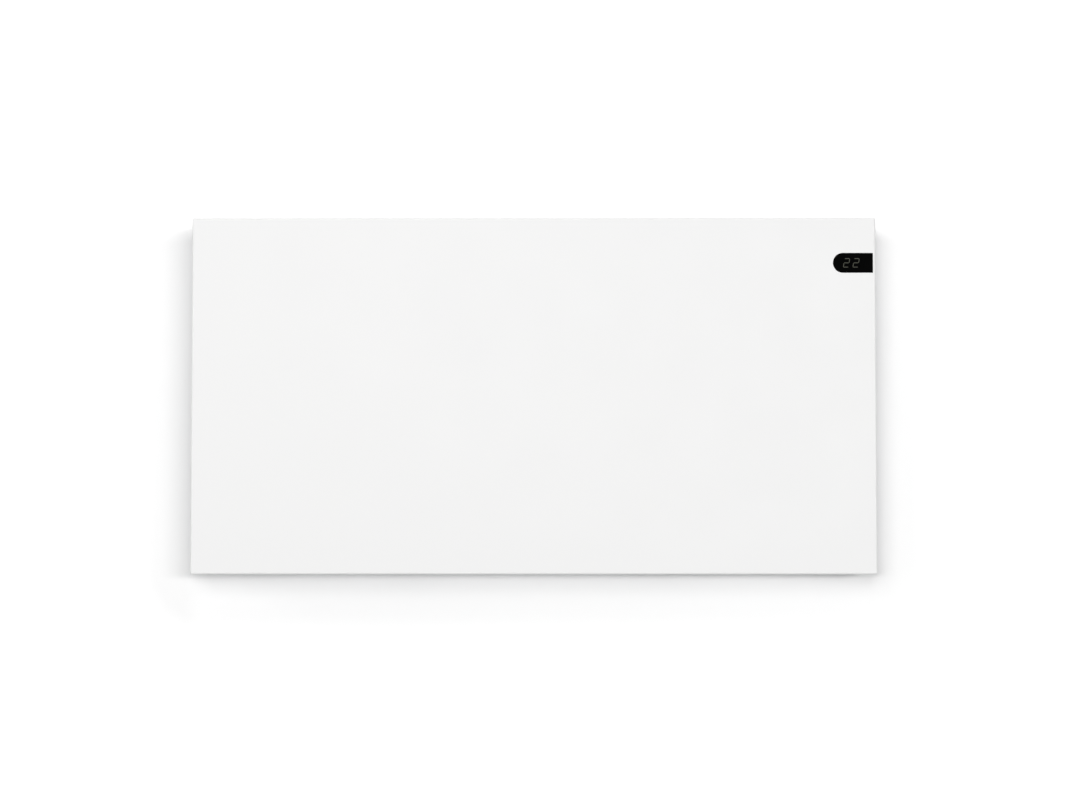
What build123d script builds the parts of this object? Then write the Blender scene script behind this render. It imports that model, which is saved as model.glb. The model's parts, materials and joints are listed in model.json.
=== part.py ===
from build123d import *
import os
from math import tan, radians

# Wall panel convector heater. Millimetres, +X right, +Z up, front towards -Y.
# The origin is the centre of the wall bracket's screw holes, on the wall plane y = 0.

# ---- driving dimensions -------------------------------------------------------------
case_width = 710.0
case_height = 370.0
case_depth = 57.0
case_sheet = 1.0
edge_radius = 2.0
return_width = 12.0
wall_gap = 26.0
rear_sheet = 1.0
rear_inset = 2.0
running_gap = 0.3
slip = 0.05
small_screw_radius = 1.5
lead_radius = 1.1

bracket_sheet = 2.0
bracket_width = 420.0
bracket_inset = 55.0
bracket_bar = 38.0
screw_spacing_x = 340.0
bracket_rail = 40.0
wall_screw_radius = 2.75
hook_spacing = 260.0
hook_width = 30.0
tongue_height = 11.5
lift_travel = 12.0

lock_drop = 18.0
tab_length = 34.0
arm_gap = 2.5
bolt_radius = 3.0
head_length = 18.0
head_width = 6.0
head_thickness = 2.5
lever_length = 34.0
lever_width = 10.0
lever_thickness = 4.0

element_end_gap = 40.0
element_rise = 85.0
element_offset = -10.0
rod_radius = 4.2
fin_reach = 44.0
fin_thickness = 1.6
fin_lean = 20.0
hub_radius = 8.0

shield_side_gap = 25.0
shield_partition_gap = 15.0
shield_sheet = 0.6
shield_stand = 9.0
foot_width = 10.0

control_width = 70.0
tab_drop = 47.5
lens_length = 41.4
lens_height = 20.6
lens_edge_gap = 3.0
lens_thickness = 2.0
digit_height = 9.5
digit_width = 5.9
digit_pitch = 9.9
digit_stroke = 0.64
digit_slant = 9.0
digit_offset = 14.1

fascia_length = 44.0
fascia_height = 16.0
fascia_y = -56.0
key_radius = 4.0
key_pitch = 13.0
key_travel = 0.5
key_proud = 0.5

# ---- places that follow from them ---------------------------------------------------
half_width = case_width / 2
half_height = case_height / 2
cover_back = -wall_gap
cover_front = cover_back - rear_sheet
case_back = cover_front
front_y = case_back - case_depth
inner_front = front_y + case_sheet
return_face = case_back - case_sheet
tab_z = half_height - tab_drop
lens_right = half_width - lens_edge_gap
lens_left = lens_right - lens_length
bracket_height = case_height - 2 * bracket_inset
screw_spacing_z = bracket_height - bracket_rail
arm_top = bracket_height / 2
lock_z = -bracket_height / 2 - lock_drop
lock_x = hook_spacing / 2
slot_margin = 4.0
slot_end = 1.0
shield_clearance = 3.0
hook_clearance = 7.5
hook_slot_height = tongue_height + bracket_sheet + slot_margin
lock_slot_high = lock_z + head_length / 2 + slot_end
lock_slot_low = lock_z - lift_travel - head_length / 2 - slot_end
partition_x = half_width - control_width
shield_left = shield_side_gap - half_width
shield_right = partition_x - shield_partition_gap
shield_x = (shield_left + shield_right) / 2
shield_low = lock_slot_high + shield_clearance + foot_width
shield_high = arm_top - hook_slot_height - hook_clearance - foot_width
element_length = shield_right - shield_left - 2 * element_end_gap
element_x = shield_x + element_offset
element_z = element_rise - half_height
carrier_half = 13.0
tray_length = 132.0
tray_drop = 12.0
tray_high = tab_z - carrier_half - tray_drop
tray_low = tray_high - tray_length
tray_z = (tray_low + tray_high) / 2


def keep(builder, name):
    """Label a finished piece and write its file."""
    builder.part.label = name
    export_step(builder.part, f"parts/{name}.step")


os.makedirs("parts", exist_ok=True)

# ---- front casing: a folded tray with outlet, intake, display and key openings --------
with BuildPart() as casing_core:
    with BuildSketch(Plane.XZ.offset(-return_face)):
        RectangleRounded(case_width - 2 * case_sheet, case_height - 2 * case_sheet,
                         edge_radius - case_sheet)
    extrude(amount=return_face - inner_front)
    fillet(casing_core.faces().sort_by(Axis.Y)[0].edges(), edge_radius - case_sheet - slip)

slot_length = 34.0
slot_width = 5.0
slot_pitch = 42.0
slot_rows = 3
slot_edge = 30.0
slot_row_pitch = 11.0
slot_columns = int((case_width - 2 * slot_edge) // slot_pitch)
slot_row_y = (front_y + case_back) / 2
rear_screw_inset = 6.5
rear_screw_columns = 4
screw_radius = 1.9

with BuildSketch(Plane.XZ.offset(-front_y)) as lens_outline:
    with BuildLine():
        Line((lens_right, tab_z - lens_height / 2), (lens_right, tab_z + lens_height / 2))
        Line((lens_right, tab_z + lens_height / 2), (lens_left + lens_height / 2, tab_z + lens_height / 2))
        ThreePointArc((lens_left + lens_height / 2, tab_z + lens_height / 2), (lens_left, tab_z),
                      (lens_left + lens_height / 2, tab_z - lens_height / 2))
        Line((lens_left + lens_height / 2, tab_z - lens_height / 2), (lens_right, tab_z - lens_height / 2))
    make_face()

with BuildPart() as front_casing:
    with BuildSketch(Plane.XZ.offset(-case_back)):
        RectangleRounded(case_width, case_height, edge_radius)
    extrude(amount=case_depth)
    fillet(front_casing.faces().sort_by(Axis.Y)[0].edges(), edge_radius - slip)
    add(casing_core.part, mode=Mode.SUBTRACT)
    # open back inside the return flange
    with BuildSketch(Plane.XZ.offset(-case_back)):
        Rectangle(case_width - 2 * return_width, case_height - 2 * return_width)
    extrude(amount=2 * case_sheet, mode=Mode.SUBTRACT)
    # air slots, through the top and the bottom together
    with BuildSketch(Plane.XY.offset(-half_height - case_sheet)):
        with Locations((0, slot_row_y)):
            with GridLocations(slot_pitch, slot_row_pitch, slot_columns, slot_rows):
                SlotOverall(slot_length, slot_width)
    extrude(amount=case_height + 2 * case_sheet, mode=Mode.SUBTRACT)
    # display window
    with BuildSketch(Plane.XZ.offset(-front_y)):
        add(lens_outline.sketch)
        offset(amount=slip)
    extrude(amount=-case_sheet - slip, mode=Mode.SUBTRACT)
    # key opening in the right side
    with BuildSketch(Plane.YZ.offset(half_width)):
        with Locations((fascia_y, tab_z)):
            SlotOverall(fascia_length + 2 * slip, fascia_height + 2 * slip)
    extrude(amount=-2 * case_sheet, mode=Mode.SUBTRACT)
    # screw holes in the return flange
    with BuildSketch(Plane.XZ.offset(-case_back)):
        with GridLocations((case_width - 2 * rear_screw_inset) / (rear_screw_columns - 1),
                           case_height - 2 * rear_screw_inset, rear_screw_columns, 2):
            Circle(screw_radius + slip)
        with Locations((half_width - rear_screw_inset, tab_z)):
            Circle(screw_radius + slip)
    extrude(amount=2 * case_sheet, mode=Mode.SUBTRACT)
keep(front_casing, "front_casing")

# ---- rear cover ---------------------------------------------------------------------
inlet_x = half_width - 35.0
inlet_low = 35.0 - half_height
inlet_width = 30.0
inlet_height = 34.0
inlet_depth = 15.0
inlet_bore = 3.6
inlet_pass = 6.0
inlet_ear = 7.0
inlet_pass_z = inlet_low + inlet_height - inlet_pass - 2.0
inlet_screw_places = [(inlet_x + side * (inlet_width + inlet_ear) / 2, inlet_low + inlet_height / 2)
                      for side in (-1, 1)]
terminal_x = inlet_x - 4.0
terminal_z = inlet_low + 72.0
pole_spread = 10.0
terminal_screw_places = [(terminal_x + side * pole_spread / 2, terminal_z) for side in (-1, 1)]
earth_x = inlet_x - 27.0
earth_z = inlet_low + 42.0
cover_corner = 3.0
lock_slot_width = head_width + 2.0
vent_rows = 9
vent_rise = 14.0
vent_pitch = 9.0
vent_length = 36.0
vent_width = 3.5
rivet_radius = 1.6
rivet_columns = 3
rivet_spacing = 250.0
rivet_rows = (shield_low - foot_width / 2, shield_high + foot_width / 2)
partition_foot_x = partition_x - 7.0
partition_rivet_z = half_height - 35.0

with BuildPart() as rear_cover:
    with BuildSketch(Plane.XZ.offset(-cover_back)):
        RectangleRounded(case_width - 2 * rear_inset, case_height - 2 * rear_inset, cover_corner)
        with GridLocations((case_width - 2 * rear_screw_inset) / (rear_screw_columns - 1),
                           case_height - 2 * rear_screw_inset, rear_screw_columns, 2):
            Circle(screw_radius + slip, mode=Mode.SUBTRACT)
        with Locations((half_width - rear_screw_inset, tab_z)):
            Circle(screw_radius + slip, mode=Mode.SUBTRACT)
        # hook slots: their top edges hang on the bracket's arms
        with Locations((-hook_spacing / 2, arm_top), (hook_spacing / 2, arm_top)):
            Rectangle(hook_width + slot_margin, hook_slot_height,
                      align=(Align.CENTER, Align.MAX), mode=Mode.SUBTRACT)
        # tall slots that the turn buttons pass through
        with Locations((-lock_x, lock_slot_low), (lock_x, lock_slot_low)):
            Rectangle(lock_slot_width, lock_slot_high - lock_slot_low,
                      align=(Align.CENTER, Align.MIN), mode=Mode.SUBTRACT)
        # cable passage and control side vents
        with Locations((inlet_x, inlet_pass_z)):
            Circle(inlet_pass, mode=Mode.SUBTRACT)
        with Locations((inlet_x, tray_z + vent_rise)):
            with GridLocations(vent_length, vent_pitch, 1, vent_rows):
                SlotOverall(vent_length, vent_width, mode=Mode.SUBTRACT)
        with Locations(*[(shield_x, row) for row in rivet_rows]):
            with GridLocations(rivet_spacing, 1.0, rivet_columns, 1):
                Circle(rivet_radius + slip, mode=Mode.SUBTRACT)
        with Locations(*inlet_screw_places, *terminal_screw_places, (earth_x, earth_z)):
            Circle(small_screw_radius + slip, mode=Mode.SUBTRACT)
        with Locations((partition_foot_x, 0)):
            with GridLocations(1.0, 2 * partition_rivet_z, 1, 2):
                Circle(rivet_radius + slip, mode=Mode.SUBTRACT)
    extrude(amount=rear_sheet)
keep(rear_cover, "rear_cover")

# pan-head screws that hold the cover; one column also holds the display carrier
screw_head_radius = 3.8
screw_head_height = 2.2
casing_screw_length = 9.0


def pan_screw(plane, head_radius, head_height, shank_radius, shank_length, *places):
    """Pan-head screws with a cross recess. The plane's normal points out of the head's seat."""
    recess_length = head_radius * 1.05
    recess_width = head_radius * 0.28
    with BuildPart() as screws:
        with BuildSketch(plane):
            with Locations(*places):
                Circle(head_radius)
        extrude(amount=head_height)
        tops = screws.faces().filter_by(lambda face: face.normal_at().dot(plane.z_dir) > 0.9)
        fillet(tops.edges(), head_height * 0.45)
        with BuildSketch(plane):
            with Locations(*places):
                Circle(shank_radius)
        extrude(amount=-shank_length)
        with BuildSketch(plane.offset(head_height)):
            with Locations(*places):
                Rectangle(recess_length, recess_width)
                Rectangle(recess_width, recess_length)
        extrude(amount=-head_height / 2, mode=Mode.SUBTRACT)
    return screws


back_plane = Plane(origin=(0, cover_back, 0), x_dir=(-1, 0, 0), z_dir=(0, 1, 0))
column_step = (case_width - 2 * rear_screw_inset) / (rear_screw_columns - 1)
rear_screw_places = [(column * column_step - (half_width - rear_screw_inset),
                      side * (half_height - rear_screw_inset))
                     for column in range(rear_screw_columns) for side in (-1, 1)]
keep(pan_screw(back_plane, screw_head_radius, screw_head_height, screw_radius, casing_screw_length,
               *rear_screw_places), "casing_screws")
keep(pan_screw(back_plane, screw_head_radius, screw_head_height, screw_radius, casing_screw_length,
               (-(half_width - rear_screw_inset), tab_z)), "carrier_screw")

# ---- wall bracket: a flat frame with two hooks above and two arms below ----------------
bracket_corner = 6.0
bend = 2.0
hook_front = cover_front - bend - slip
tab_y = cover_back + arm_gap + bracket_sheet / 2
arm_low = -bracket_height / 2 + bracket_sheet / 2
hook_arm = arm_top - bracket_sheet / 2
bolt_hole = bolt_radius + slip

with BuildPart() as wall_bracket:
    with BuildSketch(Plane.XZ):
        RectangleRounded(bracket_width, bracket_height, bracket_corner)
        RectangleRounded(bracket_width - 2 * bracket_bar, bracket_height - 2 * bracket_rail, bracket_corner,
                         mode=Mode.SUBTRACT)
        with GridLocations(screw_spacing_x, screw_spacing_z, 2, 2):
            Circle(wall_screw_radius, mode=Mode.SUBTRACT)
    extrude(amount=bracket_sheet)
    # hooks: an arm forward, then a tongue up behind the rear cover
    for side in (-1, 1):
        with BuildSketch(Plane.YZ.offset(side * hook_spacing / 2)):
            with BuildLine():
                FilletPolyline((-bracket_sheet / 2, hook_arm), (hook_front, hook_arm),
                               (hook_front, arm_top + tongue_height), radius=bend)
            trace(line_width=bracket_sheet)
        extrude(amount=hook_width / 2, both=True)
        with BuildSketch(Plane.YZ.offset(side * lock_x)):
            with BuildLine():
                FilletPolyline((-bracket_sheet / 2, arm_low), (tab_y, arm_low),
                               (tab_y, arm_low - tab_length), radius=bend)
            trace(line_width=bracket_sheet)
        extrude(amount=hook_width / 2, both=True)
    with BuildSketch(Plane.XZ.offset(bracket_sheet * 2)):
        with Locations((-lock_x, lock_z), (lock_x, lock_z)):
            Circle(bolt_hole)
    extrude(amount=wall_gap, mode=Mode.SUBTRACT)
keep(wall_bracket, "wall_bracket")

# rubber rest pads on the lower arms, round the bolts
pad_front = cover_back + running_gap
pad_back = tab_y - bracket_sheet / 2
pad_width = 24.0
pad_height = 22.0
pad_corner = 3.0
pad_hole_radius = bolt_radius + 2.5
with BuildPart() as rest_pads:
    with BuildSketch(Plane.XZ.offset(-pad_back)):
        with Locations((-lock_x, lock_z), (lock_x, lock_z)):
            RectangleRounded(pad_width, pad_height, pad_corner)
            Circle(pad_hole_radius, mode=Mode.SUBTRACT)
    extrude(amount=pad_back - pad_front)
keep(rest_pads, "rest_pads")

# ---- turn buttons: a T-head bolt through the arm, with a lever behind it ----------------
head_back = cover_front - running_gap
lever_back = tab_y + bracket_sheet / 2 + slip
head_corner = 1.5
square_side = 4.0
lever_boss_radius = lever_width / 2 + 1.5
lever_edge = 1.0

for name, x in (("left", -lock_x), ("right", lock_x)):
    with BuildPart() as lock_bolt:
        with BuildSketch(Plane.XZ.offset(-head_back)):
            with Locations((x, lock_z)):
                RectangleRounded(head_length, head_width, head_corner)
        extrude(amount=head_thickness)
        with BuildSketch(Plane.XZ.offset(-head_back)):
            with Locations((x, lock_z)):
                Circle(bolt_radius)
        extrude(amount=-(lever_back - head_back))
        with BuildSketch(Plane.XZ.offset(-lever_back)):
            with Locations((x, lock_z)):
                Rectangle(square_side, square_side)
        extrude(amount=-lever_thickness)
    keep(lock_bolt, f"lock_bolt_{name}")

    with BuildPart() as lock_lever:
        with BuildSketch(Plane.XZ.offset(-lever_back)):
            with Locations((x, lock_z - lever_length / 2 + lever_width / 2)):
                SlotOverall(lever_length, lever_width, rotation=90)
            with Locations((x, lock_z)):
                Circle(lever_boss_radius)
                Rectangle(square_side + slip, square_side + slip, mode=Mode.SUBTRACT)
        extrude(amount=-lever_thickness)
        back_edges = lock_lever.faces().sort_by(Axis.Y)[-1].outer_wire().edges()
        fillet(back_edges, lever_edge)
    keep(lock_lever, f"lock_lever_{name}")

# ---- what the rear shield carries: the overheat cut-out and the element brackets --------
cutout_inset = 70.0
cutout_rise = 70.0
cutout_x = element_x + element_length / 2 - cutout_inset
cutout_z = element_z + cutout_rise
strap_reach = 14.5
bracket_gap = 9.0
element_foot = 16.0
foot_screw_reach = 10.0
foot_screw_spread = 28.0
shield_screw_places = [(cutout_x - strap_reach, cutout_z), (cutout_x + strap_reach, cutout_z)]
element_screw_places = [(element_x + side * (element_length / 2 + bracket_gap + foot_screw_reach),
                         element_z + rise * foot_screw_spread / 2)
                        for side in (-1, 1) for rise in (-1, 1)]

# ---- heat shields: bent sheets with feet, one behind and one in front of the element ----
shield_bend = 1.5


def shield(foot_face, sheet_y, low, high, name, foot_side):
    """A bent sheet along X whose two feet lie on foot_face, foot_side saying which way it faces."""
    foot_y = foot_face + foot_side * shield_sheet / 2
    with BuildPart() as bent:
        with BuildSketch(Plane.YZ.offset(shield_left)):
            with BuildLine():
                FilletPolyline((foot_y, low - foot_width), (foot_y, low), (sheet_y, low),
                               (sheet_y, high), (foot_y, high), (foot_y, high + foot_width),
                               radius=shield_bend)
            trace(line_width=shield_sheet)
        extrude(amount=shield_right - shield_left)
        if foot_side < 0:
            with BuildSketch(Plane.XZ.offset(-cover_back)):
                with Locations(*[(shield_x, row) for row in rivet_rows]):
                    with GridLocations(rivet_spacing, 1.0, rivet_columns, 1):
                        Circle(rivet_radius + slip)
            extrude(amount=rear_sheet + 2 * shield_sheet, mode=Mode.SUBTRACT)
            with BuildSketch(Plane.XZ.offset(-sheet_y - shield_sheet)):
                with Locations(*shield_screw_places, *element_screw_places):
                    Circle(small_screw_radius + slip)
            extrude(amount=2 * shield_sheet, mode=Mode.SUBTRACT)
    keep(bent, name)


rear_shield_y = cover_front - shield_stand
front_shield_y = inner_front + 5.0
front_shield_low = shield_low - 20.0
front_shield_high = shield_high + 40.0
shield(cover_front, rear_shield_y, shield_low, shield_high, "rear_heat_shield", -1)
shield(inner_front, front_shield_y, front_shield_low, front_shield_high, "front_heat_shield", 1)

# ---- control partition, with its rear foot riveted to the cover -----------------------
partition_sheet = 1.0
partition_top = half_height - return_width - 6.0
partition_foot = 14.0
partition_foot_y = cover_front - partition_sheet / 2
lead_pass_y = rear_shield_y - 14.0
lead_pass_z = tray_low - 40.0
lead_pass_radius = 5.0
with BuildPart() as control_partition:
    with BuildSketch(Plane.XY.offset(-partition_top)):
        with BuildLine():
            FilletPolyline((partition_x - partition_foot, partition_foot_y),
                           (partition_x, partition_foot_y), (partition_x, inner_front), radius=bend)
        trace(line_width=partition_sheet)
    extrude(amount=2 * partition_top)
    with BuildSketch(Plane.XZ.offset(-cover_front)):
        with Locations((partition_foot_x, 0)):
            with GridLocations(1.0, 2 * partition_rivet_z, 1, 2):
                Circle(rivet_radius + slip)
    extrude(amount=2 * partition_sheet, mode=Mode.SUBTRACT)
    # hole for the element leads, between the hot side and the control side
    with BuildSketch(Plane.YZ.offset(partition_x + partition_sheet)):
        with Locations((lead_pass_y, lead_pass_z)):
            Circle(lead_pass_radius)
    extrude(amount=-2 * partition_sheet, mode=Mode.SUBTRACT)
keep(control_partition, "control_partition")


def rivets(name, grip, places):
    """Blind rivets through the rear cover: a flat head inside, a swollen tail outside."""
    head_radius = rivet_radius * 1.9
    tail_radius = rivet_radius * 1.5
    with BuildPart() as group:
        inner_face = Plane.XZ.offset(-(cover_front - grip))
        with BuildSketch(inner_face):
            with Locations(*places):
                Circle(rivet_radius)
        extrude(amount=-(grip + rear_sheet))
        with BuildSketch(inner_face):
            with Locations(*places):
                Circle(head_radius)
        extrude(amount=0.9, taper=25)
        with BuildSketch(Plane.XZ.offset(-cover_back)):
            with Locations(*places):
                Circle(tail_radius)
        extrude(amount=-1.4, taper=15)
    keep(group, name)


shield_places = [(shield_x + (column - (rivet_columns - 1) / 2) * rivet_spacing, row)
                 for column in range(rivet_columns) for row in rivet_rows]
rivets("shield_rivets", shield_sheet, shield_places)
rivets("partition_rivets", partition_sheet,
       [(partition_foot_x, -partition_rivet_z), (partition_foot_x, partition_rivet_z)])

# ---- finned element on its two brackets -----------------------------------------------
element_y = (rear_shield_y + front_shield_y) / 2
element_left = element_x - element_length / 2
element_bracket_sheet = 1.2
bush_radius = 9.0
bush_length = 5.0
bush_flange = 2.5
rod_reach = 16.0
rod_length = element_length + 2 * (bracket_gap + rod_reach)
element_bracket_height = 44.0
element_bracket_rest = 14.0
rib_length = 8.0
rib_thickness = 1.12
rib_start = 6.0
rib_pitch = 8.0
rib_count = 4

with BuildPart() as element_body:
    with BuildSketch(Plane.YZ.offset(element_left)):
        with Locations((element_y, element_z)):
            Circle(hub_radius)
        for lean in (fin_lean, -fin_lean, 180 + fin_lean, 180 - fin_lean):
            with Locations(Location((element_y, element_z), lean)):
                with Locations((0, fin_reach / 2)):
                    Rectangle(fin_thickness, fin_reach)
                for rib in range(rib_count):
                    with Locations((0, hub_radius + rib_start + rib * rib_pitch)):
                        Rectangle(rib_length, rib_thickness)
        with Locations((element_y, element_z)):
            Circle(rod_radius + slip, mode=Mode.SUBTRACT)
    extrude(amount=element_length)
keep(element_body, "element_body")

with BuildPart() as element_rod:
    with BuildSketch(Plane.YZ.offset(element_x - rod_length / 2)):
        with Locations((element_y, element_z)):
            Circle(rod_radius)
    extrude(amount=rod_length)
keep(element_rod, "element_rod")

for name, side in (("left", -1), ("right", 1)):
    plate_x = element_x + side * (element_length / 2 + bracket_gap)
    with BuildPart() as element_bracket:
        with BuildSketch(Plane.XY.offset(element_z - element_bracket_height / 2)):
            with BuildLine():
                foot_y = rear_shield_y - shield_sheet / 2 - element_bracket_sheet / 2
                FilletPolyline((plate_x + side * element_foot, foot_y), (plate_x, foot_y),
                               (plate_x, element_y - element_bracket_rest), radius=bend)
            trace(line_width=element_bracket_sheet)
        extrude(amount=element_bracket_height)
        with BuildSketch(Plane.YZ.offset(plate_x + element_bracket_sheet)):
            with Locations((element_y, element_z)):
                Circle(bush_radius + slip)
        extrude(amount=-2 * element_bracket_sheet, mode=Mode.SUBTRACT)
        with BuildSketch(Plane.XZ.offset(-rear_shield_y)):
            with Locations(*element_screw_places):
                Circle(small_screw_radius + slip)
        extrude(amount=3 * element_bracket_sheet, mode=Mode.SUBTRACT)
    keep(element_bracket, f"element_bracket_{name}")
bracket_screw_plane = Plane.XZ.offset(-rear_shield_y + shield_sheet / 2 + element_bracket_sheet)
keep(pan_screw(bracket_screw_plane, 3.0, 1.8, small_screw_radius,
               element_bracket_sheet + shield_sheet + 2.0, *element_screw_places), "bracket_screws")

with BuildPart() as element_bushes:
    for side in (-1, 1):
        plate_x = element_x + side * (element_length / 2 + bracket_gap)
        bush_plane = Plane(origin=(plate_x - side * bush_length / 2, element_y, element_z),
                           x_dir=(0, 1, 0), z_dir=(side, 0, 0))
        with BuildSketch(bush_plane):
            Circle(bush_radius)
            Circle(rod_radius + slip, mode=Mode.SUBTRACT)
        extrude(amount=bush_length)
        with BuildSketch(bush_plane):
            Circle(bush_radius + bush_flange)
            Circle(rod_radius + slip, mode=Mode.SUBTRACT)
        extrude(amount=bush_length / 2 - element_bracket_sheet / 2 - slip)
keep(element_bushes, "element_bushes")

# ceramic ends and threaded terminal studs on the rod
insulator_length = 8.0
stud_length = 14.0
stud_radius = 1.6
stud_nut_radius = 3.4
stud_nut_height = 2.6
with BuildPart() as element_insulators:
    for side in (-1, 1):
        end_plane = Plane(origin=(element_x + side * rod_length / 2, element_y, element_z),
                          x_dir=(0, 1, 0), z_dir=(side, 0, 0))
        with BuildSketch(end_plane):
            Circle(rod_radius)
            Circle(stud_radius + slip, mode=Mode.SUBTRACT)
        extrude(amount=insulator_length, taper=6)
keep(element_insulators, "element_insulators")

with BuildPart() as element_terminals:
    for side in (-1, 1):
        end_plane = Plane(origin=(element_x + side * rod_length / 2, element_y, element_z),
                          x_dir=(0, 1, 0), z_dir=(side, 0, 0))
        with BuildSketch(end_plane):
            Circle(stud_radius)
        extrude(amount=stud_length)
        with BuildSketch(end_plane.offset(insulator_length + slip)):
            RegularPolygon(stud_nut_radius, 6)
        extrude(amount=stud_nut_height)
keep(element_terminals, "element_terminals")

# ---- overheat cut-out on the rear shield, above the element ---------------------------
cutout_radius = 8.5
cutout_height = 7.0
cap_radius = cutout_radius - 2.0
cap_height = 3.0
blade_spread = 4.0
blade_width = 6.3
blade_sheet = 0.8
blade_height = 7.0
strap_sheet = 0.8
strap_length = 38.0
strap_width = 10.0
shield_face = rear_shield_y - shield_sheet / 2
with BuildPart() as overheat_cutout:
    with BuildSketch(Plane.XZ.offset(-shield_face)):
        with Locations((cutout_x, cutout_z)):
            Circle(cutout_radius)
    extrude(amount=cutout_height)
    with BuildSketch(Plane.XZ.offset(-shield_face + cutout_height)):
        with Locations((cutout_x, cutout_z)):
            Circle(cap_radius)
    extrude(amount=cap_height)
    with BuildSketch(Plane.XZ.offset(-shield_face + cutout_height + cap_height)):
        with Locations((cutout_x - blade_spread, cutout_z), (cutout_x + blade_spread, cutout_z)):
            Rectangle(blade_sheet, blade_width)
    extrude(amount=blade_height)
keep(overheat_cutout, "overheat_cutout")

with BuildPart() as cutout_strap:
    with BuildSketch(Plane.XZ.offset(-shield_face)):
        with Locations((cutout_x, cutout_z)):
            SlotOverall(strap_length, strap_width)
            Circle(cutout_radius + slip, mode=Mode.SUBTRACT)
        with Locations(*shield_screw_places):
            Circle(small_screw_radius + slip, mode=Mode.SUBTRACT)
    extrude(amount=strap_sheet)
    with BuildSketch(Plane.XZ.offset(-shield_face)):
        with Locations((cutout_x, cutout_z)):
            Circle(cutout_radius + 1.0)
            Circle(cutout_radius + slip, mode=Mode.SUBTRACT)
    extrude(amount=cutout_height - 1.5)
keep(cutout_strap, "cutout_strap")
strap_plane = Plane.XZ.offset(-shield_face + strap_sheet)
keep(pan_screw(strap_plane, 2.6, 1.5, small_screw_radius, strap_sheet + shield_sheet + 2.0,
               *shield_screw_places), "strap_screws")

# ---- control housing: an open tray on the partition, its board, parts and cover --------
wall = 2.0
tray_corner = 4.0
tray_left = partition_x + partition_sheet / 2
tray_depth = 40.0
tray_right = tray_left + tray_depth
tray_front = inner_front + 6.0
tray_rear = cover_front - 9.0
tray_y = (tray_front + tray_rear) / 2
board_sheet = 1.6
boss_height = 4.0
boss_radius = 3.5
board_left = tray_left + wall + boss_height
board_right = board_left + board_sheet
board_width = tray_rear - tray_front - 2 * wall - 2.0
board_height = tray_high - tray_low - 2 * wall - 4.0
board_screw_radius = 1.3
board_screw_inset = 4.0
board_screw_y = board_width - 2 * board_screw_inset
board_screw_z = board_height - 2 * board_screw_inset
notch_depth = 12.0
notch_width = 26.0
tray_plane = Plane.YZ.offset(tray_left)

with BuildPart() as control_housing:
    with BuildSketch(tray_plane):
        with Locations((tray_y, tray_z)):
            RectangleRounded(tray_rear - tray_front, tray_high - tray_low, tray_corner)
    extrude(amount=tray_depth)
    with BuildSketch(Plane.YZ.offset(tray_left + wall)):
        with Locations((tray_y, tray_z)):
            RectangleRounded(tray_rear - tray_front - 2 * wall, tray_high - tray_low - 2 * wall,
                             tray_corner - wall)
    extrude(amount=tray_depth, mode=Mode.SUBTRACT)
    with BuildSketch(Plane.YZ.offset(tray_left + wall)):
        with Locations((tray_y, tray_z)):
            with GridLocations(board_screw_y, board_screw_z, 2, 2):
                Circle(boss_radius)
    extrude(amount=boss_height)
    # pilot holes for the board, lead notches below and above
    with BuildSketch(Plane.YZ.offset(board_left)):
        with Locations((tray_y, tray_z)):
            with GridLocations(board_screw_y, board_screw_z, 2, 2):
                Circle(board_screw_radius + slip)
    extrude(amount=-boss_height, mode=Mode.SUBTRACT)
    with BuildSketch(Plane.XY.offset(tray_low - wall)):
        with Locations((tray_right, tray_y)):
            Rectangle(2 * notch_depth, notch_width)
    extrude(amount=tray_high - tray_low + 2 * wall, mode=Mode.SUBTRACT)
keep(control_housing, "control_housing")

with BuildPart() as control_board:
    with BuildSketch(Plane.YZ.offset(board_left)):
        with Locations((tray_y, tray_z)):
            Rectangle(board_width, board_height)
            with GridLocations(board_screw_y, board_screw_z, 2, 2):
                Circle(board_screw_radius + slip, mode=Mode.SUBTRACT)
    extrude(amount=board_sheet)
keep(control_board, "control_board")
board_plane = Plane.YZ.offset(board_right)
keep(pan_screw(board_plane, 2.6, 1.8, board_screw_radius, board_sheet + boss_height - 1.0,
               *[(tray_y + y * board_screw_y / 2, tray_z + z * board_screw_z / 2)
                 for y in (-1, 1) for z in (-1, 1)]), "board_screws")


def block(name, y, z, width, height, depth, corner):
    """A moulded component that stands on the control board."""
    with BuildPart() as body:
        with BuildSketch(board_plane):
            with Locations((y, z)):
                RectangleRounded(width, height, corner)
        extrude(amount=depth)
        fillet(body.faces().sort_by(Axis.X)[-1].edges(), corner * 0.6)
    keep(body, name)


block("power_relay", tray_y - 6.0, tray_z + 34.0, 16.0, 29.0, 16.0, 0.8)
block("supply_module", tray_y + 3.0, tray_z - 2.0, 24.0, 28.0, 18.0, 1.0)
connector_z = tray_low + 22.0
connector_height = 9.0
block("lead_connector", tray_y + 2.0, connector_z, 22.0, connector_height, connector_height, 0.6)
capacitor_spread = 14.0
capacitor_drop = 28.0
capacitor_radius = 5.0
capacitor_height = 17.0
with BuildPart() as board_capacitors:
    with BuildSketch(board_plane):
        with Locations((tray_y, tray_z - capacitor_drop)):
            with GridLocations(capacitor_spread, 1.0, 2, 1):
                Circle(capacitor_radius)
    extrude(amount=capacitor_height)
    fillet(board_capacitors.faces().sort_by(Axis.X)[-1].edges(), 0.8)
    fillet(board_capacitors.faces().sort_by(Axis.X)[-1].edges(), 0.3)
keep(board_capacitors, "board_capacitors")

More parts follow.
